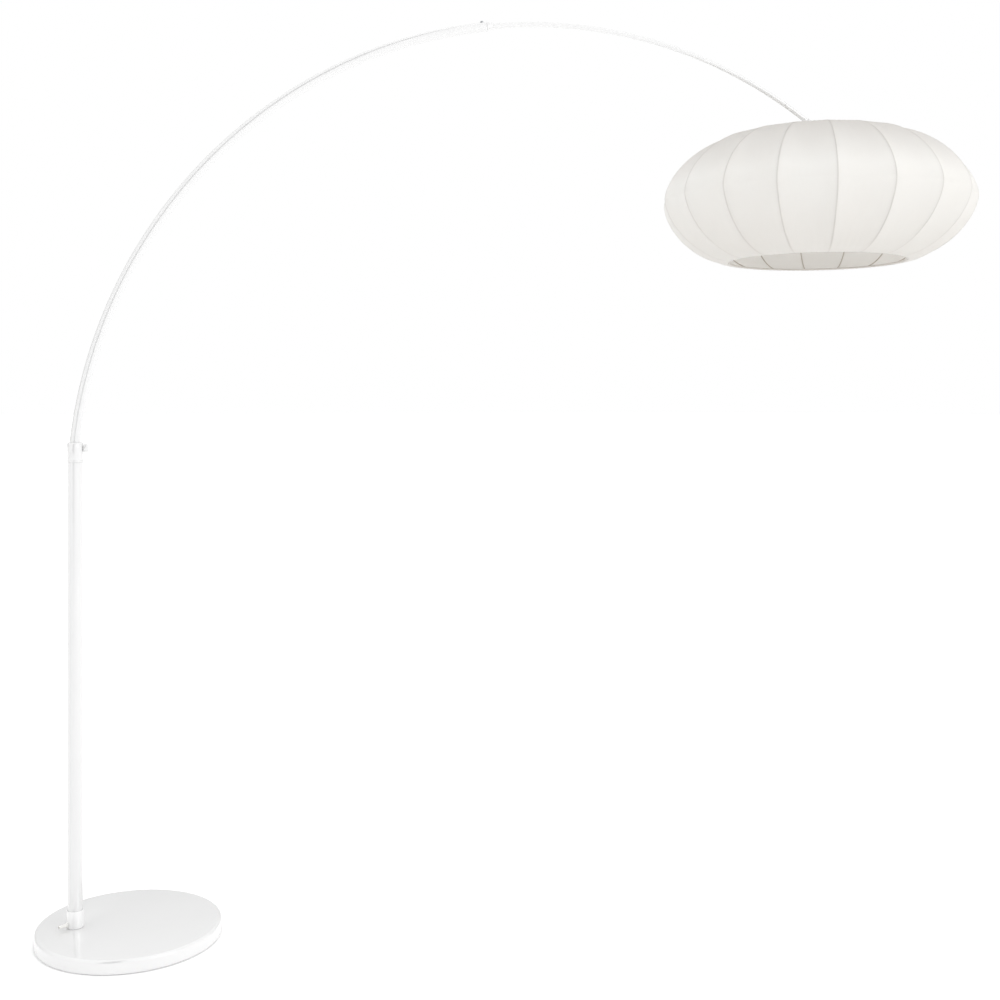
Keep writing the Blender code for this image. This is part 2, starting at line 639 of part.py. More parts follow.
def build_lock_screw(screw_axis, finishes):
    """The small screw on the arm's nose that holds the rod, along its own +Z."""
    tip = ROD_DIAMETER / 2 + GAP
    head = ARM_DIAMETER / 2 + GAP
    outline = [
        (0, head + LOCK_SCREW_HEAD), (LOCK_SCREW_HEAD_RADIUS * 0.75, head + LOCK_SCREW_HEAD),
        (LOCK_SCREW_HEAD_RADIUS, head + LOCK_SCREW_HEAD * 0.7), (LOCK_SCREW_HEAD_RADIUS, head),
        (LOCK_SCREW_RADIUS, head), (LOCK_SCREW_RADIUS, tip), (0, tip),
    ]
    screw = turned("rod_lock_screw", outline, screw_axis, finishes["zinc"], SMALL_SEGMENTS)
    slot = block(
        "lock_screw_slot", (-2 * LOCK_SCREW_HEAD_RADIUS, -0.0004, head + LOCK_SCREW_HEAD * 0.6),
        (2 * LOCK_SCREW_HEAD_RADIUS, 0.0004, head + 2 * LOCK_SCREW_HEAD), screw_axis,
    )
    combine(screw, slot, "DIFFERENCE")


def build_rod(rod, finishes):
    """The thin rod that slides in the arm, the lead inside it and the lug on its end."""
    end_angle = PIVOT_ANGLE - (SLEEVE_SETBACK + ROD_WALL + GAP) / ARC_RADIUS
    bm = bmesh.new()
    section = add_annulus(
        bm, ROD_DIAMETER / 2, ROD_BORE, SMALL_SEGMENTS - 4,
        Matrix.Rotation(ROD_TAIL_ANGLE, 4, "Y") @ Matrix.Translation((-ARC_RADIUS, 0, 0)),
    )
    spin_on(bm, section, (0, 0, 0), end_angle - ROD_TAIL_ANGLE, 30)
    finish(bm, "arc_rod", rod, finishes["white_enamel"])

    steps = 36
    points = []
    for step in range(steps + 1):
        angle = LEAD_TAIL_ANGLE + (end_angle - 2 * GAP - LEAD_TAIL_ANGLE) * step / steps
        points.append((-ARC_RADIUS * math.cos(angle), 0, ARC_RADIUS * math.sin(angle)))
    bent_rod("supply_lead_arm", points, LEAD_RADIUS, rod, finishes["lead_sheath"])

    half = SLEEVE_LENGTH / 2
    sleeve_angle = PIVOT_ANGLE - (SLEEVE_SETBACK + half) / ARC_RADIUS
    at_sleeve = Matrix.Rotation(sleeve_angle, 4, "Y") @ Matrix.Translation((-ARC_RADIUS, 0, 0))
    bore = ROD_DIAMETER / 2 + SLEEVE_PLAY
    outer = bore + SLEEVE_WALL
    outline = [
        (0, half + 0.001), (outer - 0.001, half + 0.001), (outer, half), (outer, 0.001 - half),
        (outer - 0.0005, -half), (bore, -half), (bore, half - ROD_WALL), (0, half - ROD_WALL),
    ]
    sleeve = turned("rod_end_lug", outline, rod, finishes["white_enamel"], TUBE_SEGMENTS, at_sleeve)
    at_pivot = Matrix.Rotation(PIVOT_ANGLE, 4, "Y") @ Matrix.Translation((-ARC_RADIUS, 0, 0))
    eye = eye_plate("rod_end_eye", SLEEVE_SETBACK, EYE_RADIUS, EYE_THICKNESS, rod, None, at_pivot)
    combine(sleeve, eye, "UNION")
    pivot = at_pivot @ Vector((0, 0, 0))
    across = Vector((0, EYE_THICKNESS, 0))
    drill(sleeve, "lug_pivot_hole", PIVOT_BOLT_RADIUS + THREAD_FIT, pivot - across, pivot + across)


def build_knuckle(head, finishes):
    """The fork under the pivot, its bolt and the threaded nipple that carries the lampholder."""
    cheek_inner = EYE_THICKNESS / 2 + GAP
    cheek_middle = cheek_inner + CHEEK_THICKNESS / 2
    cheek_outer = cheek_inner + CHEEK_THICKNESS
    bridge_top = -CHEEK_DROP
    bridge_low = bridge_top - BRIDGE_HEIGHT
    hub_low = bridge_low - HUB_HEIGHT
    fork = eye_plate(
        "knuckle_fork", CHEEK_DROP + BRIDGE_HEIGHT / 2, EYE_RADIUS, CHEEK_THICKNESS, head,
        finishes["white_enamel"], Matrix.Translation((0, -cheek_middle, 0)),
    )
    other = eye_plate(
        "fork_cheek", CHEEK_DROP + BRIDGE_HEIGHT / 2, EYE_RADIUS, CHEEK_THICKNESS, head, None,
        Matrix.Translation((0, cheek_middle, 0)),
    )
    bridge = block(
        "fork_bridge", (-EYE_RADIUS, -cheek_outer, bridge_low), (EYE_RADIUS, cheek_outer, bridge_top), head
    )
    hub = turned("fork_hub", disc_profile(HUB_RADIUS, hub_low, bridge_low + BRIDGE_HEIGHT / 3), head, None)
    for piece in (other, bridge, hub):
        combine(fork, piece, "UNION")
    grip_top = hub_low + NIPPLE_GRIP
    drill(fork, "fork_nipple_hole", NIPPLE_RADIUS + THREAD_FIT, (0, 0, hub_low - GAP), (0, 0, grip_top + GAP))
    across = Vector((0, 2 * cheek_outer, 0))
    drill(fork, "fork_pivot_hole", PIVOT_BOLT_RADIUS + THREAD_FIT, -across, across)

    towards_back = Matrix.Rotation(-math.pi / 2, 4, "X")
    head_face = -(cheek_outer + GAP)
    knob_face = cheek_outer + GAP
    bolt = turned(
        "pivot_bolt", disc_profile(PIVOT_HEAD_RADIUS, head_face - PIVOT_HEAD, head_face), head,
        finishes["zinc"], 6, towards_back,
    )
    shank = turned(
        "pivot_bolt_shank", disc_profile(PIVOT_BOLT_RADIUS, head_face - PIVOT_HEAD / 2, knob_face +
        TILT_KNOB_LENGTH / 2), head, None, SMALL_SEGMENTS, towards_back,
    )
    combine(bolt, shank, "UNION")
    nipple_low = grip_top - NIPPLE_LENGTH
    turned(
        "threaded_nipple", washer_profile(NIPPLE_BORE, NIPPLE_RADIUS, nipple_low, grip_top), head,
        finishes["zinc"], SMALL_SEGMENTS,
    )
    return knob_face, nipple_low, grip_top


def build_tilt_knob(knob_axis, knob_face, finishes):
    """The fluted knob nut that sets how stiffly the shade tilts, along +Y."""
    knurled(
        "tilt_knob", TILT_KNOB_RADIUS, knob_face, knob_face + TILT_KNOB_LENGTH,
        PIVOT_BOLT_RADIUS + THREAD_FIT, knob_axis, finishes["white_enamel"], Matrix.Rotation(-math.pi / 2, 4, "X"),
    )


def build_lampholder(head, nipple_low, grip_top, finishes):
    """The cap, body, core and contacts of the holder, with the two rings that clamp the shade."""
    nipple_hole = NIPPLE_RADIUS + THREAD_FIT
    cap_low = HOLDER_TOP - CAP_HEIGHT
    shoulder = HOLDER_TOP - 0.006
    inner = HOLDER_RADIUS - HOLDER_WALL
    outline = [
        (nipple_hole, HOLDER_TOP), (0.0105, HOLDER_TOP), (HOLDER_RADIUS - 0.001, shoulder),
        (HOLDER_RADIUS, shoulder - 0.003), (HOLDER_RADIUS, cap_low), (inner, cap_low),
        (inner, shoulder - 0.004), (0.0105, HOLDER_TOP - HOLDER_WALL), (nipple_hole, HOLDER_TOP - HOLDER_WALL),
    ]
    turned("lampholder_cap", outline, head, finishes["white_plastic"])
    nut_top = HOLDER_TOP - HOLDER_WALL - GAP
    nut_low = nut_top - NUT_HEIGHT
    nut = turned("nipple_nut", disc_profile(NUT_RADIUS, nut_low, nut_top), head, finishes["zinc"], 6)
    drill(nut, "nut_hole", nipple_hole, (0, 0, nut_low - GAP), (0, 0, nut_top + GAP))
    body_low = BODY_TOP - HOLDER_HEIGHT
    turned(
        "lampholder_body", washer_profile(inner, HOLDER_RADIUS, body_low, BODY_TOP), head, finishes["white_plastic"]
    )
    ring_bore = HOLDER_RADIUS + THREAD_FIT
    upper_low = UPPER_RING_TOP - SHADE_RING_THICKNESS
    turned(
        "shade_clamp_ring_upper", washer_profile(ring_bore, SHADE_RING_RADIUS, upper_low, UPPER_RING_TOP), head,
        finishes["white_plastic"],
    )
    lower_top = FITTER_TOP - FITTER_THICKNESS - GAP
    turned(
        "shade_clamp_ring_lower",
        washer_profile(ring_bore, SHADE_RING_RADIUS, lower_top - SHADE_RING_THICKNESS, lower_top), head,
        finishes["white_plastic"],
    )

    core_top = BODY_TOP - GAP
    core_low = core_top - INSERT_HEIGHT
    core_radius = inner - GAP
    turned("lampholder_core", disc_profile(core_radius, core_low, core_top), head, finishes["ceramic"])
    shell_top = core_low - GAP
    shell_low = shell_top - SCREW_SHELL_HEIGHT
    turned(
        "screw_shell",
        washer_profile(SCREW_SHELL_RADIUS - SCREW_SHELL_WALL, SCREW_SHELL_RADIUS, shell_low, shell_top), head,
        finishes["brass"],
    )
    contact_low = shell_top - CONTACT_HEIGHT
    turned(
        "centre_contact", disc_profile(CONTACT_RADIUS, contact_low, shell_top), head, finishes["brass"],
        SMALL_SEGMENTS,
    )
    lead_points = [(0, 0, height) for height in (grip_top - 2 * GAP, nipple_low, core_top + 2 * GAP)]
    bent_rod("supply_lead_head", lead_points, LEAD_RADIUS, head, finishes["lead_sheath"])
    return contact_low - GAP


def build_bulb(head, tip, finishes):
    """A screw-in LED bulb that hangs from the holder: metal cap, plastic collar, LED plate and opal dome."""
    thread_top = tip - BULB_TIP_HEIGHT
    cap_low = tip - BULB_CAP_HEIGHT
    outline = [
        (0, tip), (BULB_TIP_RADIUS, tip), (BULB_CAP_RADIUS - 0.003, thread_top),
        (BULB_CAP_RADIUS, thread_top - 0.003), (BULB_CAP_RADIUS, cap_low), (0, cap_low),
    ]
    turned("bulb_cap", outline, head, finishes["zinc"])
    collar_top = cap_low - GAP
    collar_low = collar_top - BULB_COLLAR_HEIGHT
    outline = [(0, collar_top), (BULB_CAP_RADIUS, collar_top)]
    for step in range(1, 6):
        share = step / 5
        ease = math.sin(share * math.pi / 2)
        radius = BULB_CAP_RADIUS + (BULB_RADIUS - BULB_CAP_RADIUS) * ease
        outline.append((radius, collar_top - BULB_COLLAR_HEIGHT * share))
    outline.append((0, collar_low))
    turned("bulb_collar", outline, head, finishes["white_plastic"])

    plate_top = collar_low - GAP
    inner = BULB_RADIUS - BULB_WALL
    turned(
        "bulb_led_plate", disc_profile(inner - 2 * BULB_WALL, plate_top - LED_PLATE_THICKNESS, plate_top), head,
        finishes["zinc"],
    )
    dome_steps = 7
    outside = []
    inside = []
    for step in range(dome_steps + 1):
        turn = math.pi / 2 * step / dome_steps
        outside.append((BULB_RADIUS * math.cos(turn), plate_top - BULB_DOME_HEIGHT * math.sin(turn)))
        inside.append((inner * math.cos(turn), plate_top - (BULB_DOME_HEIGHT - BULB_WALL) * math.sin(turn)))
    outside[-1] = (0, outside[-1][1])
    inside[-1] = (0, inside[-1][1])
    turned("bulb_dome", inside[::-1] + outside, head, finishes["opal"])


def rib_profile(share):
    """(radius, height) on a rib's centreline: share runs from 0 at the top ring to 1 at the bottom ring."""
    turn = math.pi * (0.5 - share)
    along = abs(math.sin(turn)) ** SHADE_POWER
    across = max(math.cos(turn), 0.0) ** SHADE_POWER
    seat = RING_WIRE + GAP
    if turn >= 0:
        ring = TOP_RING_RADIUS + seat
        height = EQUATOR_Z + SHADE_RISE * along
    else:
        ring = BOTTOM_RING_RADIUS + seat
        height = EQUATOR_Z - SHADE_FALL * along
    return ring + (SHADE_RADIUS - ring) * across, height


def rib_normal(share):
    """The (radial, upward) unit vector that points out of the shade at a place on the rib."""
    step = 1e-4
    r1, z1 = rib_profile(max(share - step, 0.0))
    r2, z2 = rib_profile(min(share + step, 1.0))
    length = math.hypot(r2 - r1, z2 - z1)
    return -(z2 - z1) / length, (r2 - r1) / length


def build_shade_frame(head, finishes):
    """The welded wire frame: two rings, the ribs, and the spider that hangs it on the lampholder."""
    seat = RING_WIRE + GAP
    for name, radius, height in (
        ("shade_top_ring", TOP_RING_RADIUS, EQUATOR_Z + SHADE_RISE),
        ("shade_bottom_ring", BOTTOM_RING_RADIUS, EQUATOR_Z - SHADE_FALL),
    ):
        outline = []
        for step in range(6):
            turn = -math.tau * step / 6
            outline.append((radius + RING_WIRE * math.cos(turn), height + RING_WIRE * math.sin(turn)))
        turned(name, outline, head, finishes["frame_wire"], 2 * RIB_COUNT, Matrix.Rotation(RIB_PHASE, 4, "Z"))

    profile = [rib_profile(step / PROFILE_STEPS) for step in range(PROFILE_STEPS + 1)]
    for number in range(RIB_COUNT):
        azimuth = RIB_PHASE + math.tau * number / RIB_COUNT
        points = [(radius, 0, height) for radius, height in profile]
        bent_rod(
            f"shade_rib_{number + 1:02d}", points, RIB_WIRE, head, finishes["frame_wire"], 0,
            Matrix.Rotation(azimuth, 4, "Z"),
        )

    fitter_bore = HOLDER_RADIUS + 0.0015
    fitter_outer = fitter_bore + FITTER_WIDTH
    fitter_low = FITTER_TOP - FITTER_THICKNESS
    fitter = turned(
        "shade_spider", washer_profile(fitter_bore, fitter_outer, fitter_low, FITTER_TOP), head,
        finishes["frame_wire"],
    )
    root = SHADE_RING_RADIUS + 0.004
    tip = TOP_RING_RADIUS - seat
    middle = (FITTER_TOP + fitter_low) / 2
    for number in range(SPIDER_ARMS):
        turn = Matrix.Rotation(RIB_PHASE + math.tau * number / SPIDER_ARMS, 4, "Z")
        foot = block(
            f"spider_foot_{number + 1}", (fitter_bore + FITTER_WIDTH / 2, -0.005, fitter_low),
            (root + 0.004, 0.005, FITTER_TOP), head, matrix=turn,
        )
        combine(fitter, foot, "UNION")
        ring_z = EQUATOR_Z + SHADE_RISE
        arm_points = [(root, 0, middle), (root + 0.012, 0, middle), (tip - 0.012, 0, ring_z), (tip, 0, ring_z)]
        arm = bent_rod(
            f"spider_arm_{number + 1}", arm_points, SPIDER_WIRE, head, finishes["frame_wire"], 1, turn
        )
        combine(fitter, solid_of(arm, turn), "UNION")


def solid_of(curve_object, matrix):
    """Replace a curve by its closed mesh in the same place, because a Boolean needs one."""
    bm = bmesh.new()
    bm.from_mesh(bpy.data.meshes.new_from_object(curve_object))
    name = f"{curve_object.name}_solid"
    solid = finish(bm, name, curve_object.parent, None, matrix)
    bpy.data.objects.remove(curve_object, do_unlink=True)
    return solid


def sag_share(share):
    """How much of its sag the fabric has: none where a ring holds it, all of it further on."""
    reach = min(share, 1 - share) / FABRIC_BLEND
    reach = min(reach, 1.0)
    return reach * reach * (3 - 2 * reach)


def fabric_point(share, across, offset):
    """A point of the fabric in the frame of one panel, with its bisector at +X.

    across runs from -1 on one rib to 1 on the next, and offset is the distance out from the ribs' centres."""
    half = math.pi / RIB_COUNT
    radius, height = rib_profile(share)
    out_r, out_z = rib_normal(share)
    turn = across * half
    chord = radius * (1 - math.cos(half) / math.cos(turn))
    inset = sag_share(share) * (chord + FABRIC_SAG * (1 - across * across))
    radius += out_r * (offset - inset)
    height += out_z * (offset - inset)
    return Vector((radius * math.cos(turn), radius * math.sin(turn), height))


def build_shade_cover(head, finishes):
    """The stretched fabric: a thin closed wall over the ribs, open at the top and the bottom."""
    bm = bmesh.new()
    columns = []
    for number in range(RIB_COUNT):
        azimuth = RIB_PHASE + math.tau * (number + 0.5) / RIB_COUNT
        turn = Matrix.Rotation(azimuth, 4, "Z")
        for step in range(PANEL_STEPS):
            across = -1 + 2 * step / PANEL_STEPS
            loop = []
            for offset in (COVER_OFFSET + FABRIC_WALL, COVER_OFFSET):
                run = [
                    bm.verts.new(turn @ fabric_point(row / PROFILE_STEPS, across, offset))
                    for row in range(PROFILE_STEPS + 1)
                ]
                loop += run if offset > COVER_OFFSET else run[::-1]
            columns.append(loop)
    count = len(columns[0])
    for left, right in zip(columns, columns[1:] + columns[:1]):
        for row in range(count):
            following = (row + 1) % count
            bm.faces.new((left[row], left[following], right[following], right[row]))
    finish(bm, "shade_cover", head, finishes["fabric"])


def build_lamp():
    """Build every piece of the lamp under the empty of its own body."""
    clear_scene()
    finishes = make_materials()
    base = make_axis("base_origin", None, (0, 0, 0))
    arm = make_axis("arm_swivel_axis", base, (POST_X, 0, 0))
    rod = make_axis("rod_arc_centre", arm, ARC_CENTRE)
    pivot = Vector((-ARC_RADIUS * math.cos(PIVOT_ANGLE), 0, ARC_RADIUS * math.sin(PIVOT_ANGLE)))
    head = make_axis("shade_tilt_axis", rod, pivot)

    stack = build_base(base, finishes)
    build_base_bolt(base, stack, finishes)
    socket_radius = build_post(base, finishes)
    build_gland_and_lead(base, socket_radius, finishes)
    knob_z = build_collar(base, finishes)
    build_collar_knob(make_axis("collar_knob_axis", base, (POST_X, 0, knob_z)), finishes)

    build_arm(arm, finishes)
    screw_axis = make_axis("rod_screw_axis", arm, (0, 0, 0))
    out_of_curve = Matrix.Rotation(-math.pi / 2, 4, "Y")
    setback = Matrix.Translation((0, 0, -LOCK_SCREW_SETBACK))
    screw_axis.matrix_local = frame_on_arc(MOUTH_ANGLE) @ setback @ out_of_curve
    build_lock_screw(screw_axis, finishes)

    build_rod(rod, finishes)
    knob_face, nipple_low, grip_top = build_knuckle(head, finishes)
    build_tilt_knob(make_axis("tilt_knob_axis", head, (0, 0, 0)), knob_face, finishes)
    tip = build_lampholder(head, nipple_low, grip_top, finishes)
    build_bulb(head, tip, finishes)
    build_shade_frame(head, finishes)
    build_shade_cover(head, finishes)


build_lamp()
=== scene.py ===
"""Arc floor lamp: the finished look of every piece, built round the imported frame.

Metres, +Z up. Each sub-assembly of the lamp is a class that takes its places from the frame, builds its
pieces and dresses them. Each surface of the lamp is a finish, named for the real material.
"""

import json
import logging
import math
from collections.abc import Iterable, Sequence
from dataclasses import dataclass
from enum import Enum
from typing import Any

import bmesh
import bpy
from bmesh.types import BMEdge, BMesh, BMFace, BMVert
from bpy.types import Material, Node, NodeSocket, NodeTree, Object
from mathutils import Matrix, Vector


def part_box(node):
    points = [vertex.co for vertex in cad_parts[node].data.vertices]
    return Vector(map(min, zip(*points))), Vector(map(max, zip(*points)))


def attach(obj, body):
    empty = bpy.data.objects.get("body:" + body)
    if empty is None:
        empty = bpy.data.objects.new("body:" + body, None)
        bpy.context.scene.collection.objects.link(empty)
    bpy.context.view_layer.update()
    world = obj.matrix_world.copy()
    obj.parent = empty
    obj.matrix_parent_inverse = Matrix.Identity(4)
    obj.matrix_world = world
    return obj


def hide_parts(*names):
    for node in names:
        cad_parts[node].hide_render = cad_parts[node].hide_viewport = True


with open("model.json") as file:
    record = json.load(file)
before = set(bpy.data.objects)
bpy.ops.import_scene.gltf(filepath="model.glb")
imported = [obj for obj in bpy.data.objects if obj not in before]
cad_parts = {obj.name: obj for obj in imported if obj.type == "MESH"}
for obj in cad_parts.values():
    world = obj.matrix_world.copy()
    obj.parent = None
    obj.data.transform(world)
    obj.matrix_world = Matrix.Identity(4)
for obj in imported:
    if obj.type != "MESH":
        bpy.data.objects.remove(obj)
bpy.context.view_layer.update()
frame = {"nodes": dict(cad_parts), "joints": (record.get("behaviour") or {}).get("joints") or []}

log = logging.getLogger("arc_lamp")

Colour = tuple[float, float, float, float]
Outline = Sequence[tuple[float, float]]

CLEAR = 0.0003  # metres of air between neighbouring pieces


class Side(Enum):
    """The way a turned piece's axis lies, as the turn that brings +Z onto it."""

    RIGHT = Matrix.Rotation(math.pi / 2, 4, "Y")
    BACK = Matrix.Rotation(-math.pi / 2, 4, "X")


# --- Colours, nodes and finishes ---


def linear(code: str) -> Colour:
    """Turn an sRGB hex colour into linear values.

    Args:
        code: The colour as #RRGGBB.

    Returns:
        Red, green and blue in linear light, and an alpha of 1.
    """
    shares = [int(code[at : at + 2], 16) / 255 for at in (1, 3, 5)]
    red, green, blue = (s / 12.92 if s <= 0.04045 else ((s + 0.055) / 1.055) ** 2.4 for s in shares)
    return red, green, blue, 1.0


def per_mm(size: float) -> float:
    """A texture's scale for a pattern whose real size is given in millimetres."""
    return 1000.0 / size


def add_node(tree: NodeTree, kind: str, inputs: dict[str | int, Any], **settings: Any) -> Node:
    """Add a node with its settings, values and links.

    Args:
        tree: The node tree that it goes into.
        kind: The node's type name, without ShaderNode.
        inputs: Socket name or number to a value, or to the socket or node that drives it. A Map Range takes
            its value at 0, from at 1 and 2, and to at 3 and 4; a colour Mix its share at 0 and colours at 6 and 7.
        settings: The node's own properties.

    Returns:
        The node.
    """
    node = tree.nodes.new(f"ShaderNode{kind}")
    for name, value in settings.items():
        setattr(node, name, value)
    for key, value in inputs.items():
        if isinstance(value, Node):
            value = next(output for output in value.outputs if output.enabled)
        if isinstance(value, NodeSocket):
            tree.links.new(value, node.inputs[key])
        else:
            node.inputs[key].default_value = value
    return node


@dataclass(frozen=True)
class Finish:
    """A surface of the lamp: its name, the record's slot that it stands for, and how its nodes are made."""

    name: str
    slot: str

    def shade(self, tree: NodeTree, place: NodeSocket) -> Node:
        """Build this finish's nodes on the object's own coordinates and return its shader.

        Args:
            tree: The material's node tree.
            place: The coordinates that the pattern is laid out on.

        Returns:
            The node whose output is the surface.
        """
        raise NotImplementedError

    def material(self) -> Material:
        """The finish's material, made the first time that it is asked for."""
        made = bpy.data.materials.get(self.name)
        if not made:
            made = bpy.data.materials.new(self.name)
            made.use_nodes = True
            tree = made.node_tree
            tree.nodes.clear()
            place = add_node(tree, "TexCoord", {}).outputs["Object"]
            add_node(tree, "OutputMaterial", {"Surface": self.shade(tree, place)})
        return made


@dataclass(frozen=True)
class PowderCoat(Finish):
    """Gloss polyester powder baked on steel: a faint orange peel breaks the edges of its reflections."""

    hex_light: str = "#E4E4E4"
    hex_dull: str = "#E0E0E0"
    roughness: float = 0.20
    peel: float = 3.5  # millimetres from one swell of the coat to the next
    peel_depth: float = 0.0012  # millimetres

    def shade(self, tree: NodeTree, place: NodeSocket) -> Node:
        """Build the coat: uneven thickness in the colour, handling haze in the gloss, peel in the bump.

        Args:
            tree: The material's node tree.
            place: The coordinates that the pattern is laid out on.

        Returns:
            The node whose output is the surface.
        """
        cloud = add_node(tree, "TexNoise", {"Vector": place, "Scale": per_mm(90.0), "Detail": 2.0})
        haze = add_node(tree, "TexNoise", {"Vector": place, "Scale": per_mm(26.0), "Detail": 5.0, "Roughness": 0.62})
        peel = add_node(tree, "TexNoise", {"Vector": place, "Scale": per_mm(self.peel), "Detail": 1.0})
        speck = add_node(tree, "TexNoise", {"Vector": place, "Scale": per_mm(0.9), "Detail": 0.0})
        fleck = add_node(tree, "MapRange", {0: speck, 1: 0.76, 2: 0.80, 3: 0.0, 4: 0.06})
        tints = {0: cloud, 6: linear(self.hex_light), 7: linear(self.hex_dull)}
        colour = add_node(tree, "Mix", tints, data_type="RGBA")
        low, high = self.roughness - 0.04, self.roughness + 0.05
        return add_node(tree, "BsdfPrincipled", {
            "Base Color": add_node(tree, "Mix", {0: fleck, 6: colour, 7: linear("#D9D8D5")}, data_type="RGBA"),
            "Roughness": add_node(tree, "MapRange", {0: haze, 1: 0.3, 2: 0.75, 3: low, 4: high}),
            "IOR": 1.5,
            "Coat Weight": 1.0,
            "Coat IOR": 2.2,
            "Coat Roughness": 0.05,
            "Normal": add_node(tree, "Bump", {"Height": peel, "Distance": self.peel_depth / 1000}),
        })


@dataclass(frozen=True)
class StretchedFabric(Finish):
    """White polyester drawn tight over wires: warm, soft, and thin enough to glow with the light behind it."""

    hex_light: str = "#FDFDFC"
    hex_warm: str = "#FBFAF8"
    # Colour of the thread crossings, and of each rib's seam line with painted shadow of its wire.
    hex_seam_shadow: str = "#CCC8C3"
    hem: float = 9.0  # millimetres of cloth folded double over each ring
    top_shade_reach: float = 210.0  # millimetres from the top ring over which painted shade darkens the upper cloth
    waist: float = 1.69  # metres above the floor, where the cloth is widest
    drop: float = 0.15  # metres from there down to the mouth, over which painted shade darkens the cloth towards the bottom
    thread: float = 2.2  # millimetres; the real 0.5 mm threads would be too fine to see
    seam_shadow_half: float = 1.6  # millimetres from a rib's middle to the edge of its line
    glow: float = 0.54

    def shade(self, tree: NodeTree, place: NodeSocket) -> Node:
        """Build the cloth: crossing threads and slubs, warmer cloudy patches, each rib's seam line with painted shadow
        of the wire, and painted shade near the top ring and towards the mouth.

        Args:
            tree: The material's node tree.
            place: The coordinates that the pattern is laid out on.

        Returns:
            The node whose output is the surface.
        """
        layout = add_node(tree, "UVMap", {}, uv_map="cloth")
        sides = add_node(tree, "SeparateXYZ", {0: layout}).outputs
        ridges = []
        for side in sides[:2]:
            turns = add_node(tree, "Math", {0: side, 1: math.tau * per_mm(self.thread)}, operation="MULTIPLY")
            ridges.append(add_node(tree, "Math", {0: turns}, operation="SINE"))
        crossing = add_node(tree, "Math", {0: ridges[0], 1: ridges[1]}, operation="MULTIPLY")
        weave = add_node(tree, "MapRange", {0: crossing, 1: -1.0, 2: 1.0, 3: 0.0, 4: 1.0})
        stretch = add_node(tree, "Mapping", {"Vector": layout, "Scale": (1.0, 0.12, 1.0)})
        slub = add_node(tree, "TexNoise", {"Vector": stretch, "Scale": per_mm(5.0), "Detail": 3.0})
        cloud = add_node(tree, "TexNoise", {"Vector": place, "Scale": per_mm(120.0), "Detail": 3.0})
        ribs, ends = (
            add_node(tree, "Attribute", {}, attribute_name=name).outputs["Fac"]
            for name in ("rib_distance", "hem_distance")
        )
        height = add_node(tree, "SeparateXYZ", {0: place}).outputs[2]
        # Above the waist only: where the painted shade near the top ring may lie.
        top = add_node(tree, "MapRange", {0: height, 1: self.waist - 0.02, 2: self.waist + 0.02, 3: 0.0, 4: 1.0})
        tints = {0: cloud, 6: linear(self.hex_light), 7: linear(self.hex_warm)}
        colour = add_node(tree, "Mix", tints, data_type="RGBA")
        layers = (  # what the layer follows, from where to where, its share at each, its colour, where it lies
            (weave, 0.0, 1.0, 0.04, 0.0, self.hex_seam_shadow, None),
            (slub, 0.55, 0.80, 0.0, 0.06, "#E6E1DA", None),
            # Each rib's line: the seam, with painted shadow of the wire through the cloth.
            (ribs, self.seam_shadow_half * 0.0005, self.seam_shadow_half * 0.0016, 0.20, 0.0, self.hex_seam_shadow, None),
            # Painted shade on the upper cloth near the top ring, above the waist only.
            (ends, 0.0, self.top_shade_reach / 1000, 0.40, 0.0, "#B5AEA8", top),
            # Painted shade on the lower cloth, darker towards the mouth.
            (height, self.waist - self.drop, self.waist + 0.03, 0.22, 0.0, "#C5BEB5", None),
            (ends, self.hem / 1000, (self.hem + 1.0) / 1000, 0.04, 0.0, "#8E8A85", None),
        )
        for guide, start, end, low, high, tint, only in layers:
            share = add_node(tree, "MapRange", {0: guide, 1: start, 2: end, 3: low, 4: high})
            if only:
                share = add_node(tree, "Math", {0: share, 1: only}, operation="MULTIPLY")
            colour = add_node(tree, "Mix", {0: share, 6: colour, 7: linear(tint)}, data_type="RGBA")
        relief = add_node(tree, "Bump", {"Height": weave, "Distance": 0.00005})
        relief = add_node(tree, "Bump", {"Height": slub, "Distance": 0.0001, "Normal": relief})
        front = add_node(tree, "BsdfPrincipled", {
            "Base Color": colour,
            "Roughness": add_node(tree, "MapRange", {0: slub, 3: 0.72, 4: 0.9}),
            "Sheen Weight": 0.25,
            "Sheen Roughness": 0.5,
            "Specular IOR Level": 0.3,
            "Normal": relief,
        })
        through = add_node(tree, "BsdfTranslucent", {"Color": colour, "Normal": relief})
        return add_node(tree, "MixShader", {0: self.glow, 1: front, 2: through})


@dataclass(frozen=True)
class CoatedWire(Finish):
    """Spring-steel wire with a thin grey lacquer: dull, with thicker drops of lacquer along it."""

    hex_light: str = "#D2CAC0"
    hex_dark: str = "#BAB2A8"

    def shade(self, tree: NodeTree, place: NodeSocket) -> Node:
        """Build the lacquer: patchy grey, with uneven gloss and soft lumps.

        Args:
            tree: The material's node tree.
            place: The coordinates that the pattern is laid out on.

        Returns:
            The node whose output is the surface.
        """
        patch = add_node(tree, "TexNoise", {"Vector": place, "Scale": per_mm(9.0), "Detail": 4.0, "Roughness": 0.6})
        haze = add_node(tree, "TexNoise", {"Vector": place, "Scale": per_mm(3.0), "Detail": 3.0})
        lumps = add_node(tree, "TexNoise", {"Vector": place, "Scale": per_mm(2.5), "Detail": 1.0})
        tints = {0: patch, 6: linear(self.hex_light), 7: linear(self.hex_dark)}
        return add_node(tree, "BsdfPrincipled", {
            "Base Color": add_node(tree, "Mix", tints, data_type="RGBA"),
            "Roughness": add_node(tree, "MapRange", {0: haze, 3: 0.35, 4: 0.6}),
            "IOR": 1.48,
            "Normal": add_node(tree, "Bump", {"Height": lumps, "Distance": 0.00005}),
        })


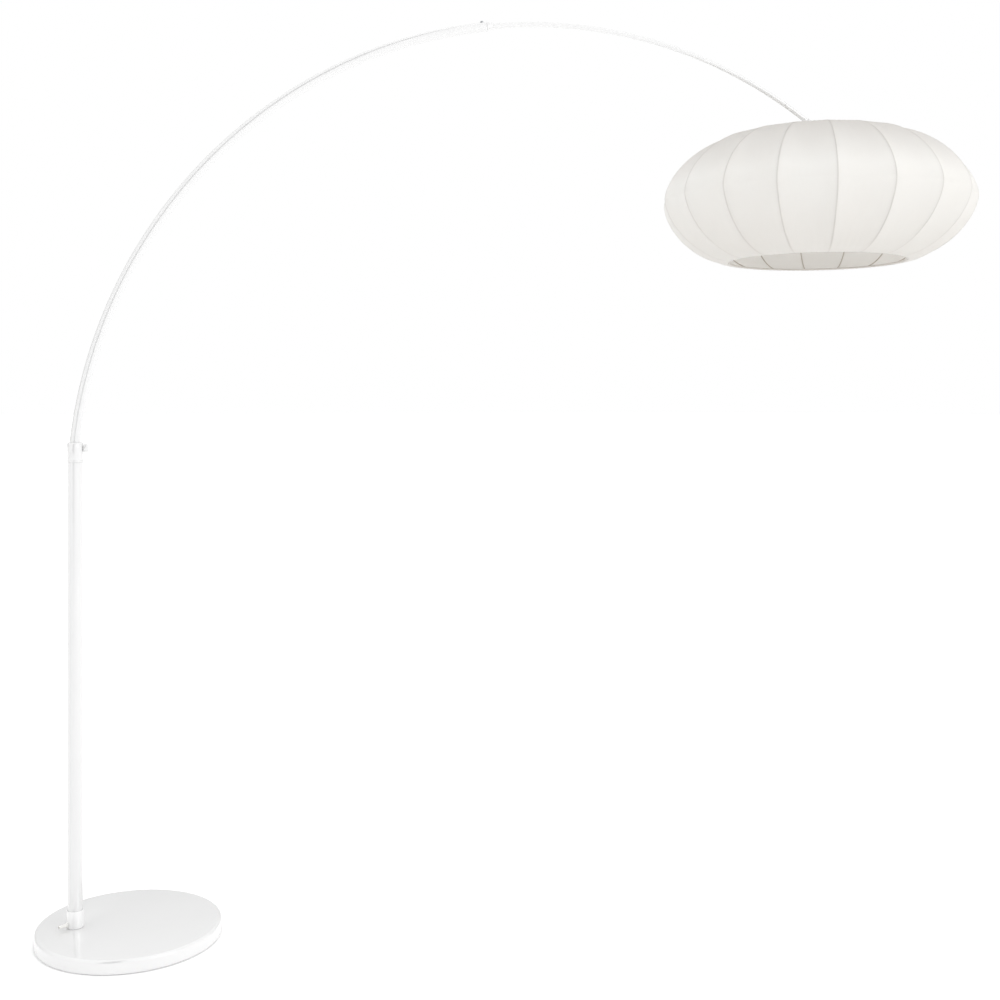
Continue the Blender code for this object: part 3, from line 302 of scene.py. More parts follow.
@dataclass(frozen=True)
class MouldedPlastic(Finish):
    """Injection-moulded ABS or nylon from a spark-eroded tool: satin, with a fine even grain."""

    hex_light: str = "#F8F8F6"
    hex_dark: str = "#F1F0ED"
    roughness: float = 0.42
    grain: float = 0.8  # millimetres
    grain_depth: float = 0.02  # millimetres
    soft: float = 0.0

    def shade(self, tree: NodeTree, place: NodeSocket) -> Node:
        """Build the moulding: flow marks in the colour, spark grain in the bump and the gloss.

        Args:
            tree: The material's node tree.
            place: The coordinates that the pattern is laid out on.

        Returns:
            The node whose output is the surface.
        """
        flow = add_node(tree, "TexNoise", {"Vector": place, "Scale": per_mm(18.0), "Detail": 2.0})
        grain = add_node(tree, "TexNoise", {"Vector": place, "Scale": per_mm(self.grain), "Detail": 2.0})
        tints = {0: flow, 6: linear(self.hex_light), 7: linear(self.hex_dark)}
        low, high = self.roughness - 0.06, self.roughness + 0.1
        return add_node(tree, "BsdfPrincipled", {
            "Base Color": add_node(tree, "Mix", tints, data_type="RGBA"),
            "Roughness": add_node(tree, "MapRange", {0: grain, 1: 0.3, 2: 0.7, 3: low, 4: high}),
            "IOR": 1.53,
            "Subsurface Weight": self.soft,
            "Subsurface Radius": (0.004, 0.003, 0.002),
            "Subsurface Scale": 1.0,
            "Normal": add_node(tree, "Bump", {"Height": grain, "Distance": self.grain_depth / 1000}),
        })


@dataclass(frozen=True)
class PlatedMetal(Finish):
    """Bright plate on turned steel, or plain brass: fine turning lines, cloudy tarnish and rubbed high spots."""

    hex_light: str = "#C9CBCD"
    hex_dark: str = "#9FA2A6"
    roughness: float = 0.32
    line: float = 0.35  # millimetres between turning lines

    def shade(self, tree: NodeTree, place: NodeSocket) -> Node:
        """Build the metal: tarnish in the colour, fine lines round the turned faces, uneven polish.

        Args:
            tree: The material's node tree.
            place: The coordinates that the pattern is laid out on.

        Returns:
            The node whose output is the surface.
        """
        cloud = add_node(tree, "TexNoise", {"Vector": place, "Scale": per_mm(6.0), "Detail": 4.0, "Roughness": 0.6})
        flat = add_node(tree, "Mapping", {"Vector": place, "Scale": (0.08, 0.08, 1.0)})
        lines = add_node(tree, "TexNoise", {"Vector": flat, "Scale": per_mm(self.line), "Detail": 2.0})
        tints = {0: cloud, 6: linear(self.hex_light), 7: linear(self.hex_dark)}
        low, high = self.roughness - 0.08, self.roughness + 0.12
        return add_node(tree, "BsdfPrincipled", {
            "Base Color": add_node(tree, "Mix", tints, data_type="RGBA"),
            "Metallic": 1.0,
            "Roughness": add_node(tree, "MapRange", {0: cloud, 1: 0.3, 2: 0.7, 3: low, 4: high}),
            "Normal": add_node(tree, "Bump", {"Height": lines, "Distance": 0.000012}),
        })


@dataclass(frozen=True)
class CastIron(Finish):
    """Sand-cast grey iron dipped in black paint: pitted, dull, with rust specks where the paint is thin."""

    def shade(self, tree: NodeTree, place: NodeSocket) -> Node:
        """Build the casting: sand grain, shallow pits and rust specks.

        Args:
            tree: The material's node tree.
            place: The coordinates that the pattern is laid out on.

        Returns:
            The node whose output is the surface.
        """
        sand, pits, rust = (
            add_node(tree, "TexNoise", {"Vector": place, "Scale": per_mm(size), "Detail": detail, "Roughness": rough})
            for size, detail, rough in ((1.4, 4.0, 0.7), (7.0, 3.0, 0.5), (11.0, 5.0, 0.7))
        )
        pits = add_node(tree, "MapRange", {0: pits, 1: 0.28, 2: 0.36, 3: 1.0, 4: 0.0})
        rust = add_node(tree, "MapRange", {0: rust, 1: 0.62, 2: 0.72, 3: 0.0, 4: 0.7})
        colour = add_node(tree, "Mix", {0: sand, 6: linear("#2B2B2D"), 7: linear("#3A3A3B")}, data_type="RGBA")
        relief = add_node(tree, "Bump", {"Height": sand, "Distance": 0.00012})
        return add_node(tree, "BsdfPrincipled", {
            "Base Color": add_node(tree, "Mix", {0: rust, 6: colour, 7: linear("#6B4630")}, data_type="RGBA"),
            "Roughness": add_node(tree, "MapRange", {0: sand, 3: 0.55, 4: 0.8}),
            "Normal": add_node(tree, "Bump", {"Height": pits, "Distance": -0.0003, "Normal": relief}),
        })


@dataclass(frozen=True)
class FoamRubber(Finish):
    """Closed-cell rubber sheet: matt black, with cut cells and a little grey dust."""

    def shade(self, tree: NodeTree, place: NodeSocket) -> Node:
        """Build the sheet: small cells in the bump, dust in the colour.

        Args:
            tree: The material's node tree.
            place: The coordinates that the pattern is laid out on.

        Returns:
            The node whose output is the surface.
        """
        cells = add_node(tree, "TexVoronoi", {"Vector": place, "Scale": per_mm(1.2)})
        dust = add_node(tree, "TexNoise", {"Vector": place, "Scale": per_mm(14.0), "Detail": 5.0, "Roughness": 0.7})
        dust = add_node(tree, "MapRange", {0: dust, 1: 0.5, 2: 0.8, 3: 0.0, 4: 0.35})
        tints = {0: dust, 6: linear("#1D1D1E"), 7: linear("#6A6865")}
        return add_node(tree, "BsdfPrincipled", {
            "Base Color": add_node(tree, "Mix", tints, data_type="RGBA"),
            "Roughness": add_node(tree, "MapRange", {0: dust, 3: 0.78, 4: 0.92}),
            "Normal": add_node(tree, "Bump", {"Height": cells, "Distance": 0.00015}),
        })


@dataclass(frozen=True)
class StudioFloor(Finish):
    """Matt white painted board that fades into the white room."""

    def shade(self, tree: NodeTree, place: NodeSocket) -> Node:
        """Build the board: an even white with a breath of roller texture.

        Args:
            tree: The material's node tree.
            place: The coordinates that the pattern is laid out on.

        Returns:
            The node whose output is the surface.
        """
        roller = add_node(tree, "TexNoise", {"Vector": place, "Scale": per_mm(4.0), "Detail": 2.0})
        return add_node(tree, "BsdfPrincipled", {
            "Base Color": linear("#FAFAFA"),
            "Roughness": 0.9,
            "Specular IOR Level": 0.0,
            "Emission Color": linear("#FFFFFF"),
            "Emission Strength": 0.12,
            "Normal": add_node(tree, "Bump", {"Height": roller, "Distance": 0.00001}),
        })


ENAMEL = PowderCoat("gloss_white_powder_coat", "white_enamel")
# The base's own copy of the same white coat, its colour set apart to stand in for how light falls on its top: painted
# light.
BASE_LIGHT_TONED_ENAMEL = PowderCoat(
    "gloss_white_powder_coat_light_toned_base", "white_enamel", hex_light="#E7E7E7", hex_dull="#E4E4E4", roughness=0.14
)
# A lighter copy of the same white coat for the foot socket: painted light, standing in for the light that falls on it.
LIT_FOOT_ENAMEL = PowderCoat("gloss_white_powder_coat_lit_foot", "white_enamel", hex_light="#F5F5F5", hex_dull="#F2F2F2")
FABRIC = StretchedFabric("stretched_white_polyester", "fabric")
WIRE = CoatedWire("lacquered_spring_wire", "frame_wire")
BOUND_WIRE = CoatedWire("tape_bound_wire", "frame_wire", "#CFCAC4", "#BDB7B0")
PLASTIC = MouldedPlastic("white_moulded_abs", "white_plastic")
SHEATH = MouldedPlastic("white_pvc_sheath", "lead_sheath", "#ECEBE6", "#E0DED8", 0.5, 1.5, 0.03)
PORCELAIN = MouldedPlastic("glazed_porcelain", "ceramic", "#F0ECE2", "#E4DECF", 0.22, 3.0, 0.01)
OPAL = MouldedPlastic("opal_polycarbonate", "opal", "#F7F5F0", "#F1EEE6", 0.30, 1.5, 0.006, 0.6)
ZINC = PlatedMetal("bright_zinc_plate", "zinc")
BRASS = PlatedMetal("plain_brass", "brass", "#D9B46A", "#B98E45", 0.30)
IRON = CastIron("black_dipped_cast_iron", "cast_iron")
RUBBER = FoamRubber("black_foam_rubber", "rubber")
FLOOR = StudioFloor("white_studio_board", "")


# --- Shapes ---


def publish(bm: BMesh, name: str, finish: Finish, body: str, stands_for: Iterable[str] = (),
            turn_out: bool = True) -> Object:
    """Make a finished piece of a bmesh, at the origin, dressed and riding on its body.

    Args:
        bm: The shape in the lamp's frame. It is freed.
        name: The piece's name.
        finish: Its surface.
        body: The CAD body that it moves with.
        stands_for: The CAD nodes that it replaces.
        turn_out: Whether its normals are worked out again.

    Returns:
        The piece's object.
    """
    bmesh.ops.remove_doubles(bm, verts=bm.verts, dist=1e-6)
    if turn_out:
        bmesh.ops.recalc_face_normals(bm, faces=bm.faces)
    mesh = bpy.data.meshes.new(name)
    bm.to_mesh(mesh)
    bm.free()
    mesh.shade_smooth()
    mesh.set_sharp_from_angle(angle=math.radians(40))
    mesh.materials.append(finish.material())
    piece = bpy.data.objects.new(name, mesh)
    bpy.context.scene.collection.objects.link(piece)
    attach(piece, body)
    nodes = list(stands_for)
    if nodes:
        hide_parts(*nodes)
    log.info("%s: %d faces on %s", name, len(mesh.polygons), body)
    return piece


def dress(finish: Finish, *nodes: str) -> None:
    """Give CAD nodes that stay a finish through their material slots.

    Args:
        finish: The surface that they get.
        nodes: The CAD nodes' names.
    """
    for node in nodes:
        for place in frame["nodes"][node].material_slots:
            place.material = finish.material()
        log.info("%s: dressed as %s", node, finish.name)


def round_off(bm: BMesh, edges: list[BMEdge], width: float, steps: int) -> None:
    """Round some edges of a shape.

    Args:
        bm: The shape, changed in place.
        edges: The edges.
        width: The rounding's width from each edge.
        steps: How many faces go across the rounding.
    """
    bmesh.ops.bevel(
        bm, geom=edges, offset=width, offset_type="OFFSET", affect="EDGES", segments=steps, profile=0.5,
        material=-1, clamp_overlap=True,
    )


def verts_in(geometry: Iterable[Any]) -> list[BMVert]:
    """The vertices among an operator's results."""
    return [item for item in geometry if isinstance(item, BMVert)]


def soften(bm: BMesh, width: float, angle: float = 35.0, steps: int = 3) -> None:
    """Round every edge that is sharper than an angle.

    Args:
        bm: The shape.
        width: How far the rounding reaches from the edge.
        angle: The least angle between two faces, in degrees, that counts as an edge.
        steps: How many faces the rounding has across it.
    """
    bmesh.ops.remove_doubles(bm, verts=bm.verts, dist=1e-7)
    bmesh.ops.recalc_face_normals(bm, faces=bm.faces)
    least = math.radians(angle)
    sharp = [edge for edge in bm.edges if edge.is_manifold and edge.calc_face_angle(0.0) > least]
    round_off(bm, sharp, width, steps)


def lathe(outline: Outline, steps: int = 64, place: Matrix = Matrix.Identity(4)) -> BMesh:
    """Turn an outline of (radius, height) points round its own Z axis, then put it in place.

    Args:
        outline: The outline's corners. It is closed unless it starts and ends on the axis.
        steps: How many steps the turn has.
        place: Where the turned shape goes.

    Returns:
        The turned shape.
    """
    bm = bmesh.new()
    corners = [bm.verts.new((radius, 0.0, height)) for radius, height in outline]
    edges = [bm.edges.new(pair) for pair in zip(corners, corners[1:])]
    if outline[0][0] > 0 or outline[-1][0] > 0:
        edges.append(bm.edges.new((corners[-1], corners[0])))
    bmesh.ops.spin(
        bm, geom=corners + edges, cent=(0, 0, 0), axis=(0, 0, 1), angle=math.tau, steps=steps, use_merge=True
    )
    bmesh.ops.remove_doubles(bm, verts=bm.verts, dist=1e-7)
    bmesh.ops.transform(bm, matrix=place, verts=bm.verts)
    return bm


def tube_outline(inner: float, outer: float, low: float, high: float) -> Outline:
    """The outline of a plain tube or ring."""
    return [(inner, high), (outer, high), (outer, low), (inner, low)]


def disc_outline(outer: float, low: float, high: float) -> Outline:
    """The outline of a solid disc or pin, from its top centre to its bottom centre."""
    return [(0.0, high), (outer, high), (outer, low), (0.0, low)]


def sweep(bm: BMesh, path: Sequence[Vector], radius: float, sides: int = 12,
          closed_ends: bool = True) -> None:
    """Carry a circle along a path, turning it as little as it can.

    Args:
        bm: The shape that the tube is added to.
        path: The points of its middle line.
        radius: The tube's radius.
        sides: How many sides it has.
        closed_ends: Whether its ends are capped.
    """
    heading = (path[1] - path[0]).normalized()
    turn = heading.to_track_quat("Z", "X").to_matrix().to_4x4()
    made = bmesh.ops.create_circle(
        bm, cap_ends=False, segments=sides, radius=radius, matrix=Matrix.Translation(path[0]) @ turn
    )
    rim = list({edge for vert in made["verts"] for edge in vert.link_edges})
    if closed_ends:
        bmesh.ops.contextual_create(bm, geom=rim)
    for number in range(1, len(path)):
        ahead = path[min(number + 1, len(path) - 1)] - path[number - 1]
        bend = heading.rotation_difference(ahead.normalized()).to_matrix().to_4x4()
        grown = bmesh.ops.extrude_edge_only(bm, edges=rim)["geom"]
        ring = verts_in(grown)
        rim = [item for item in grown if isinstance(item, BMEdge)]
        move = Matrix.Translation(path[number]) @ bend @ Matrix.Translation(-path[number - 1])
        bmesh.ops.transform(bm, matrix=move, verts=ring)
        heading = ahead.normalized()
    if closed_ends:
        bmesh.ops.contextual_create(bm, geom=rim)


def hollow_section(bm: BMesh, outer: float, inner: float, sides: int, place: Matrix) -> list[Any]:
    """A flat ring of faces across a tube's path, ready to be carried along it.

    Args:
        bm: The shape that it is added to.
        outer: The tube's outer radius.
        inner: The tube's inner radius.
        sides: How many sides the tube has.
        place: The frame whose Z runs along the path.

    Returns:
        The shape's vertices, edges and faces.
    """
    for radius in (outer, inner):
        bmesh.ops.create_circle(bm, cap_ends=False, segments=sides, radius=radius, matrix=place)
    bmesh.ops.bridge_loops(bm, edges=[edge for edge in bm.edges if edge.is_wire])
    return bm.verts[:] + bm.edges[:] + bm.faces[:]


def fluted_knob(radius: float, low: float, high: float, flutes: int, place: Matrix) -> BMesh:
    """A finger knob with soft flutes round its edge and a dished face.

    Args:
        radius: Its outer radius.
        low: Where it starts along its axis.
        high: Where it ends along its axis.
        flutes: How many flutes it has.
        place: The frame whose Z is its axis.

    Returns:
        The knob's shape.
    """
    bm = bmesh.new()
    rim = bmesh.ops.create_circle(bm, cap_ends=True, segments=flutes * 8, radius=radius)["verts"]
    for vert in rim:
        turn = math.atan2(vert.co.y, vert.co.x)
        vert.co *= 1.0 - 0.045 * (0.5 - 0.5 * math.cos(flutes * turn)) ** 1.5
    grown = bmesh.ops.extrude_face_region(bm, geom=bm.faces[:])["geom"]
    top = verts_in(grown)
    bmesh.ops.translate(bm, verts=rim, vec=(0, 0, low))
    bmesh.ops.translate(bm, verts=top, vec=(0, 0, high))
    bmesh.ops.recalc_face_normals(bm, faces=bm.faces)
    for height in (low, high):
        ends = [face for face in bm.faces if all(abs(vert.co.z - height) < 1e-7 for vert in face.verts)]
        round_off(bm, [edge for face in ends for edge in face.edges], radius * 0.12, 4)
    face = max(bm.faces, key=lambda item: item.calc_center_median().z)
    bmesh.ops.inset_region(bm, faces=[face], thickness=radius * 0.18, depth=-radius * 0.06)
    bmesh.ops.transform(bm, matrix=place, verts=bm.verts)
    return bm


def lug_plate(length: float, radius: float, low: float, high: float, place: Matrix) -> BMesh:
    """A plate in the XZ plane, round about the origin and straight down from there.

    Args:
        length: How far it goes down.
        radius: Its round end's radius, which is half its width.
        low: Where it starts along Y.
        high: Where it ends along Y.
        place: Where the plate goes.

    Returns:
        The plate's shape.
    """
    bm = bmesh.new()
    lay = Matrix.Rotation(math.pi / 2, 4, "X")
    rim = bmesh.ops.create_circle(bm, cap_ends=True, segments=64, radius=radius, matrix=lay)["verts"]
    for vert in rim:
        if vert.co.z < -1e-6:
            vert.co.z = -length
    grown = bmesh.ops.extrude_face_region(bm, geom=bm.faces[:])["geom"]
    bmesh.ops.translate(bm, verts=rim, vec=(0, low, 0))
    bmesh.ops.translate(bm, verts=verts_in(grown), vec=(0, high, 0))
    soften(bm, min(0.0008, (high - low) / 4), 50.0)
    bmesh.ops.transform(bm, matrix=place, verts=bm.verts)
    return bm


def merge_in(bm: BMesh, *others: BMesh) -> BMesh:
    """Add other shapes to a shape.

    Args:
        bm: The shape that they are added to.
        others: The other shapes. They are freed.

    Returns:
        The first shape.
    """
    for other in others:
        bmesh.ops.recalc_face_normals(other, faces=other.faces)
        scratch = bpy.data.meshes.new("scratch")
        other.to_mesh(scratch)
        other.free()
        bm.from_mesh(scratch)
        bpy.data.meshes.remove(scratch)
    return bm


# --- Places that the frame gives ---


def joint(name: str) -> dict[str, Any]:
    """The record's joint of that name."""
    return next(item for item in frame["joints"] if item["name"] == name)


def radius_of(node: str, axis: int = 1) -> float:
    """Half the width of a CAD node along an axis."""
    low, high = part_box(node)
    return (high[axis] - low[axis]) / 2


@dataclass(frozen=True)
class Layout:
    """The lamp's main axes and points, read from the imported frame."""

    post: Vector
    arc: Vector
    arc_radius: float
    pivot: Vector
    pivot_angle: float
    mouth_angle: float
    screw_setback: float = 0.009  # metres from the arm's mouth back to the rod's screw

    @classmethod
    def read(cls) -> "Layout":
        """Work the layout out from the joints and the nodes' boxes."""
        low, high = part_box("post_tube")
        arc = Vector(joint("rod_slide")["pos_m"])
        pivot = Vector(joint("shade_tilt")["pos_m"])
        screw = Vector(joint("rod_screw_turn")["pos_m"])
        radius = (pivot - arc).length
        return cls(
            post=Vector(((low.x + high.x) / 2, 0.0, 0.0)),
            arc=arc,
            arc_radius=radius,
            pivot=pivot,
            pivot_angle=math.atan2(pivot.z - arc.z, arc.x - pivot.x),
            mouth_angle=math.atan2(screw.z - arc.z, arc.x - screw.x) + cls.screw_setback / radius,
        )

    def on_arc(self, angle: float) -> Matrix:
        """A frame on the arm's middle line: Z runs on along the rod, and -X points out of the curve."""
        turn = Matrix.Rotation(angle, 4, "Y")
        return Matrix.Translation(self.arc) @ turn @ Matrix.Translation((-self.arc_radius, 0, 0))


# --- Sub-assemblies ---


@dataclass
class Base:
    """The disc base: a drawn steel cover over an iron weight, on a rubber pad."""

    layout: Layout
    rim_round: float = 0.0065
    inner_round: float = 0.005
    wall: float = 0.0015
    segments: int = 192

    def build(self) -> None:
        """Build the cover and dress what it hides."""
        low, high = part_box("base_cover")
        radius = radius_of("base_cover", 0)
        inner = radius - self.wall
        under = high.z - self.wall
        outline = [(0.0, high.z), (radius, high.z), (radius, low.z), (inner, low.z), (inner, under), (0.0, under)]
        bm = lathe(outline, self.segments)
        bmesh.ops.recalc_face_normals(bm, faces=bm.faces)
        for reach, height, width in ((radius, high.z, self.rim_round), (inner, under, self.inner_round)):
            on_rim = {
                vert for vert in bm.verts
                if abs(vert.co.z - height) < 1e-6 and abs(vert.co.xy.length - reach) < 1e-5
            }
            round_off(bm, [edge for edge in bm.edges if on_rim.issuperset(edge.verts)], width, 8)
        publish(bm, "base_disc_cover", BASE_LIGHT_TONED_ENAMEL, "base", ["base_cover"])
        dress(IRON, "base_weight")
        dress(RUBBER, "floor_pad")
        dress(ZINC, "base_bolt", "bolt_spring_washer", "bolt_washer", "post_foot_plug")


@dataclass
class Post:
    """The upright tube in its socket, with the gland where a mains cord would enter."""

    layout: Layout
    segments: int = 64
    wall: float = 0.0015
    gland_length: float = 0.0203
    gland_bore: float = 0.0027
    gland_spigot: float = 0.004  # its radius, and how far it goes into the socket's wall
    gland_ribs: int = 5

    def build(self) -> None:
        """Build the tube, the socket and the gland."""
        place = Matrix.Translation(self.layout.post)
        low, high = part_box("post_tube")
        radius = radius_of("post_tube", 0)
        bm = lathe(tube_outline(radius - self.wall, radius, low.z, high.z), self.segments, place)
        publish(bm, "upright_post_tube", ENAMEL, "base", ["post_tube"])

        low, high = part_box("post_socket")
        outline = tube_outline(radius + CLEAR, radius_of("post_socket", 0), low.z, high.z)
        bm = lathe(outline, self.segments, place)
        soften(bm, 0.0008)
        publish(bm, "post_foot_socket", LIT_FOOT_ENAMEL, "base", ["post_socket"])
        self.build_gland()
        dress(SHEATH, "supply_lead_post")

    def build_gland(self) -> None:
        """Build the gland: a flange against the socket and a ribbed nose that tapers."""
        low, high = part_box("cord_gland")
        middle = (low + high) / 2
        out = Vector((middle.x - self.layout.post.x, middle.y, 0.0)).normalized()
        start = radius_of("post_socket")
        tip = min((Vector((low.x, low.y, 0)) - self.layout.post).length, start + self.gland_length)
        face = start + CLEAR
        spigot = self.gland_spigot
        outline: list[tuple[float, float]] = [(self.gland_bore, tip), (0.0033, tip)]
        pitch = (tip - face - spigot) / self.gland_ribs
        for number in range(self.gland_ribs):
            top = tip - 0.001 - number * pitch
            crest = 0.0036 + 0.0004 * number / self.gland_ribs
            root = crest - 0.0006
            outline += [(crest, top - 0.0002), (crest, top - pitch * 0.55)]
            outline += [(root, top - pitch * 0.62), (root, top - pitch * 0.95)]
        outline += [(0.0055, face + 0.0022), (0.0055, face), (spigot, face), (spigot, face - spigot)]
        outline.append((self.gland_bore, face - spigot))
        place = Matrix.Translation(Vector((self.layout.post.x, 0, middle.z)))
        turned = out.to_track_quat("Z", "Y").to_matrix().to_4x4()
        publish(lathe(outline, 40, place @ turned), "mains_cord_gland", PLASTIC, "base", ["cord_gland"])


@dataclass
class Collar:
    """The collar that carries the arm on the post, with its lock knob."""

    layout: Layout
    segments: int = 64
    groove: float = 0.0006
    chamfer: float = 0.0025
    shank: float = 0.003
    flutes: int = 12

    def build(self) -> None:
        """Build the collar with its shadow line, and the fluted knob on its shank."""
        place = Matrix.Translation(self.layout.post)
        low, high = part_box("arm_collar")
        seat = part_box("post_tube")[1].z + CLEAR
        outer = radius_of("arm_collar", 0)
        bore = radius_of("arc_tube") + 0.0004
        cut = outer - self.groove
        outline = [
            (bore, high.z), (outer - self.chamfer, high.z), (outer, high.z - self.chamfer), (outer, seat + 0.0060),
            (cut, seat + 0.0056), (cut, seat + 0.0046), (outer, seat + 0.0042), (outer, seat), (bore, seat),
        ]
        bm = lathe(outline, self.segments, place)
        soften(bm, 0.0005, 25.0)
        publish(bm, "arm_mount_collar", ENAMEL, "base", ["arm_collar"])
        dress(PLASTIC, "swivel_bush")

        axis = Vector(joint("collar_knob_turn")["pos_m"])
        low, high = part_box("collar_lock_knob")
        turned = Matrix.Translation(axis) @ Side.RIGHT.value
        head = outer + 0.001
        end = high.x - axis.x
        knob = fluted_knob(radius_of("collar_lock_knob"), head, end, self.flutes, turned)
        shank = lathe(disc_outline(self.shank, low.x - axis.x, head + 0.002), 24, turned)
        publish(merge_in(knob, shank), "collar_thumb_knob", ENAMEL, "collar_knob", ["collar_lock_knob"])


@dataclass
class Arm:
    """The thick curved arm and the nose that guides the rod."""

    layout: Layout
    wall: float = 0.0012
    sides: int = 48
    knee_radius: float = 0.060
    stem_bore: float = 0.0075
    stem_spigot: float = 0.0094
    nose_length: float = 0.0160
    nose_spigot: float = 0.018
    screw_slot: float = 0.00045  # half its width

    def build(self) -> None:
        """Build the arm's tube, its nose and the small screw on it."""
        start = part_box("arc_tube")[0].z
        radius = radius_of("arc_tube")
        layout = self.layout
        lean = math.acos((layout.arc.x - layout.post.x) / layout.arc_radius)
        knee = layout.arc.z + layout.arc_radius * math.sin(lean)
        tangent = self.knee_radius * math.tan(lean / 2)
        stem_low, stem_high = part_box("arm_stem")
        bore, spigot = self.stem_bore, self.stem_spigot
        outline = [
            (bore, stem_high.z), (spigot, stem_high.z), (spigot, start), (radius, start - CLEAR),
            (radius, stem_low.z), (bore, stem_low.z),
        ]
        stem = lathe(outline, self.sides, Matrix.Translation(layout.post))
        publish(stem, "arm_swivel_stem", ENAMEL, "arm", ["arm_stem"])
        bm = bmesh.new()
        foot = Matrix.Translation((layout.post.x, 0, start))
        section = hollow_section(bm, radius, radius - self.wall, self.sides, foot)
        faces = [item for item in section if isinstance(item, BMFace)]
        grown = bmesh.ops.extrude_face_region(bm, geom=faces)["geom"]
        bmesh.ops.translate(bm, verts=verts_in(grown), vec=(0, 0, knee - tangent - start))
        centre = (layout.post.x + self.knee_radius, 0, knee - tangent)
        last = self.carry(bm, grown, centre, lean, 8)
        rest = layout.mouth_angle - lean - tangent / layout.arc_radius
        self.carry(bm, last, tuple(layout.arc), rest, 120)
        publish(bm, "arm_curved_tube", ENAMEL, "arm", ["arc_tube"])
        self.build_nose(radius)

    @staticmethod
    def carry(bm: BMesh, section: list[Any], centre: Sequence[float], angle: float, steps: int) -> list[Any]:
        """Carry a section round an axis along Y.

        Args:
            bm: The shape that the tube is added to.
            section: What is carried.
            centre: A point of the axis.
            angle: How far it turns, in radians.
            steps: How many steps the turn has.

        Returns:
            The section where it ends.
        """
        made = bmesh.ops.spin(
            bm, geom=section, cent=centre, axis=(0, 1, 0), angle=angle, steps=steps, use_merge=False
        )
        return made["geom_last"]

    def build_nose(self, radius: float) -> None:
        """Build the tapered nose with its lip, and the slotted screw.

        Args:
            radius: The arm's outer radius.
        """
        place = self.layout.on_arc(self.layout.mouth_angle)
        bore = radius_of("arc_rod") + 0.0008
        end = self.nose_length
        inner = radius - 0.0016
        outline = [
            (bore, end), (bore + 0.0012, end), (bore + 0.0024, end - 0.0015), (radius * 0.86, 0.0068),
            (radius * 0.95, 0.0040), (radius, 0.0030), (radius, CLEAR), (inner, CLEAR),
            (inner, -self.nose_spigot), (bore, -self.nose_spigot),
        ]
        bm = lathe(outline, 56, place)
        soften(bm, 0.0004, 20.0)
        publish(bm, "arm_nose_guide", ENAMEL, "arm", ["arm_nose_bush"])

        screw = joint("rod_screw_turn")
        axis = Vector(screw["axis"])
        turned = Matrix.Translation(Vector(screw["pos_m"])) @ axis.to_track_quat("Z", "Y").to_matrix().to_4x4()
        head = radius + CLEAR
        outline = [
            (0.0, head + 0.0032), (0.0026, head + 0.0032), (0.0038, head + 0.0018), (0.0038, head), (0.0020, head),
            (0.0020, 0.0065), (0.0, 0.0065),
        ]
        bm = lathe(outline, 40)
        soften(bm, 0.0003, 25.0)
        for side in (-self.screw_slot, self.screw_slot):
            everything = bm.verts[:] + bm.edges[:] + bm.faces[:]
            bmesh.ops.bisect_plane(bm, geom=everything, dist=1e-7, plane_co=(0, side, 0), plane_no=(0, 1, 0))
        for vert in bm.verts:
            if abs(vert.co.y) < 0.0004 and vert.co.z > head + 0.002:
                vert.co.z -= 0.0013
        bmesh.ops.transform(bm, matrix=turned, verts=bm.verts)
        publish(bm, "nose_lock_screw", ZINC, "rod_screw", ["rod_lock_screw"])


@dataclass
class Rod:
    """The thin rod that slides in the arm, and the lug brazed on its end."""

    layout: Layout
    wall: float = 0.001
    sides: int = 32
    tail: float = math.radians(66)
    sleeve_half: float = 0.0106
    sleeve_setback: float = 0.0098  # metres from the pivot to the sleeve's near end
    eye_radius: float = 0.008
    eye_half: float = 0.0035

    def build(self) -> None:
        """Build the rod and its lug, and dress the lead inside it."""
        layout = self.layout
        radius = radius_of("arc_rod")
        bm = bmesh.new()
        section = hollow_section(bm, radius, radius - self.wall, self.sides, layout.on_arc(self.tail))
        end = layout.pivot_angle - 0.0103 / layout.arc_radius
        Arm.carry(bm, section, tuple(layout.arc), end - self.tail, 110)
        publish(bm, "arm_sliding_rod", ENAMEL, "rod", ["arc_rod"])
        dress(SHEATH, "supply_lead_arm")

        half = self.sleeve_half
        place = layout.on_arc(layout.pivot_angle - (self.sleeve_setback + half) / layout.arc_radius)
        bore = radius + 0.0004
        outer = bore + 0.0018
        outline = [
            (0.0, half + 0.001), (outer - 0.001, half + 0.001), (outer, half), (outer, -half + 0.0006),
            (outer - 0.0008, -half), (bore, -half), (bore, half - 0.001), (0.0, half - 0.001),
        ]
        sleeve = lathe(outline, 56, place)
        soften(sleeve, 0.0004, 25.0)
        at_pivot = layout.on_arc(layout.pivot_angle)
        eye = lug_plate(self.sleeve_setback + 0.0005, self.eye_radius, -self.eye_half, self.eye_half, at_pivot)
        publish(merge_in(sleeve, eye), "rod_swivel_lug", ENAMEL, "rod", ["rod_end_lug"])


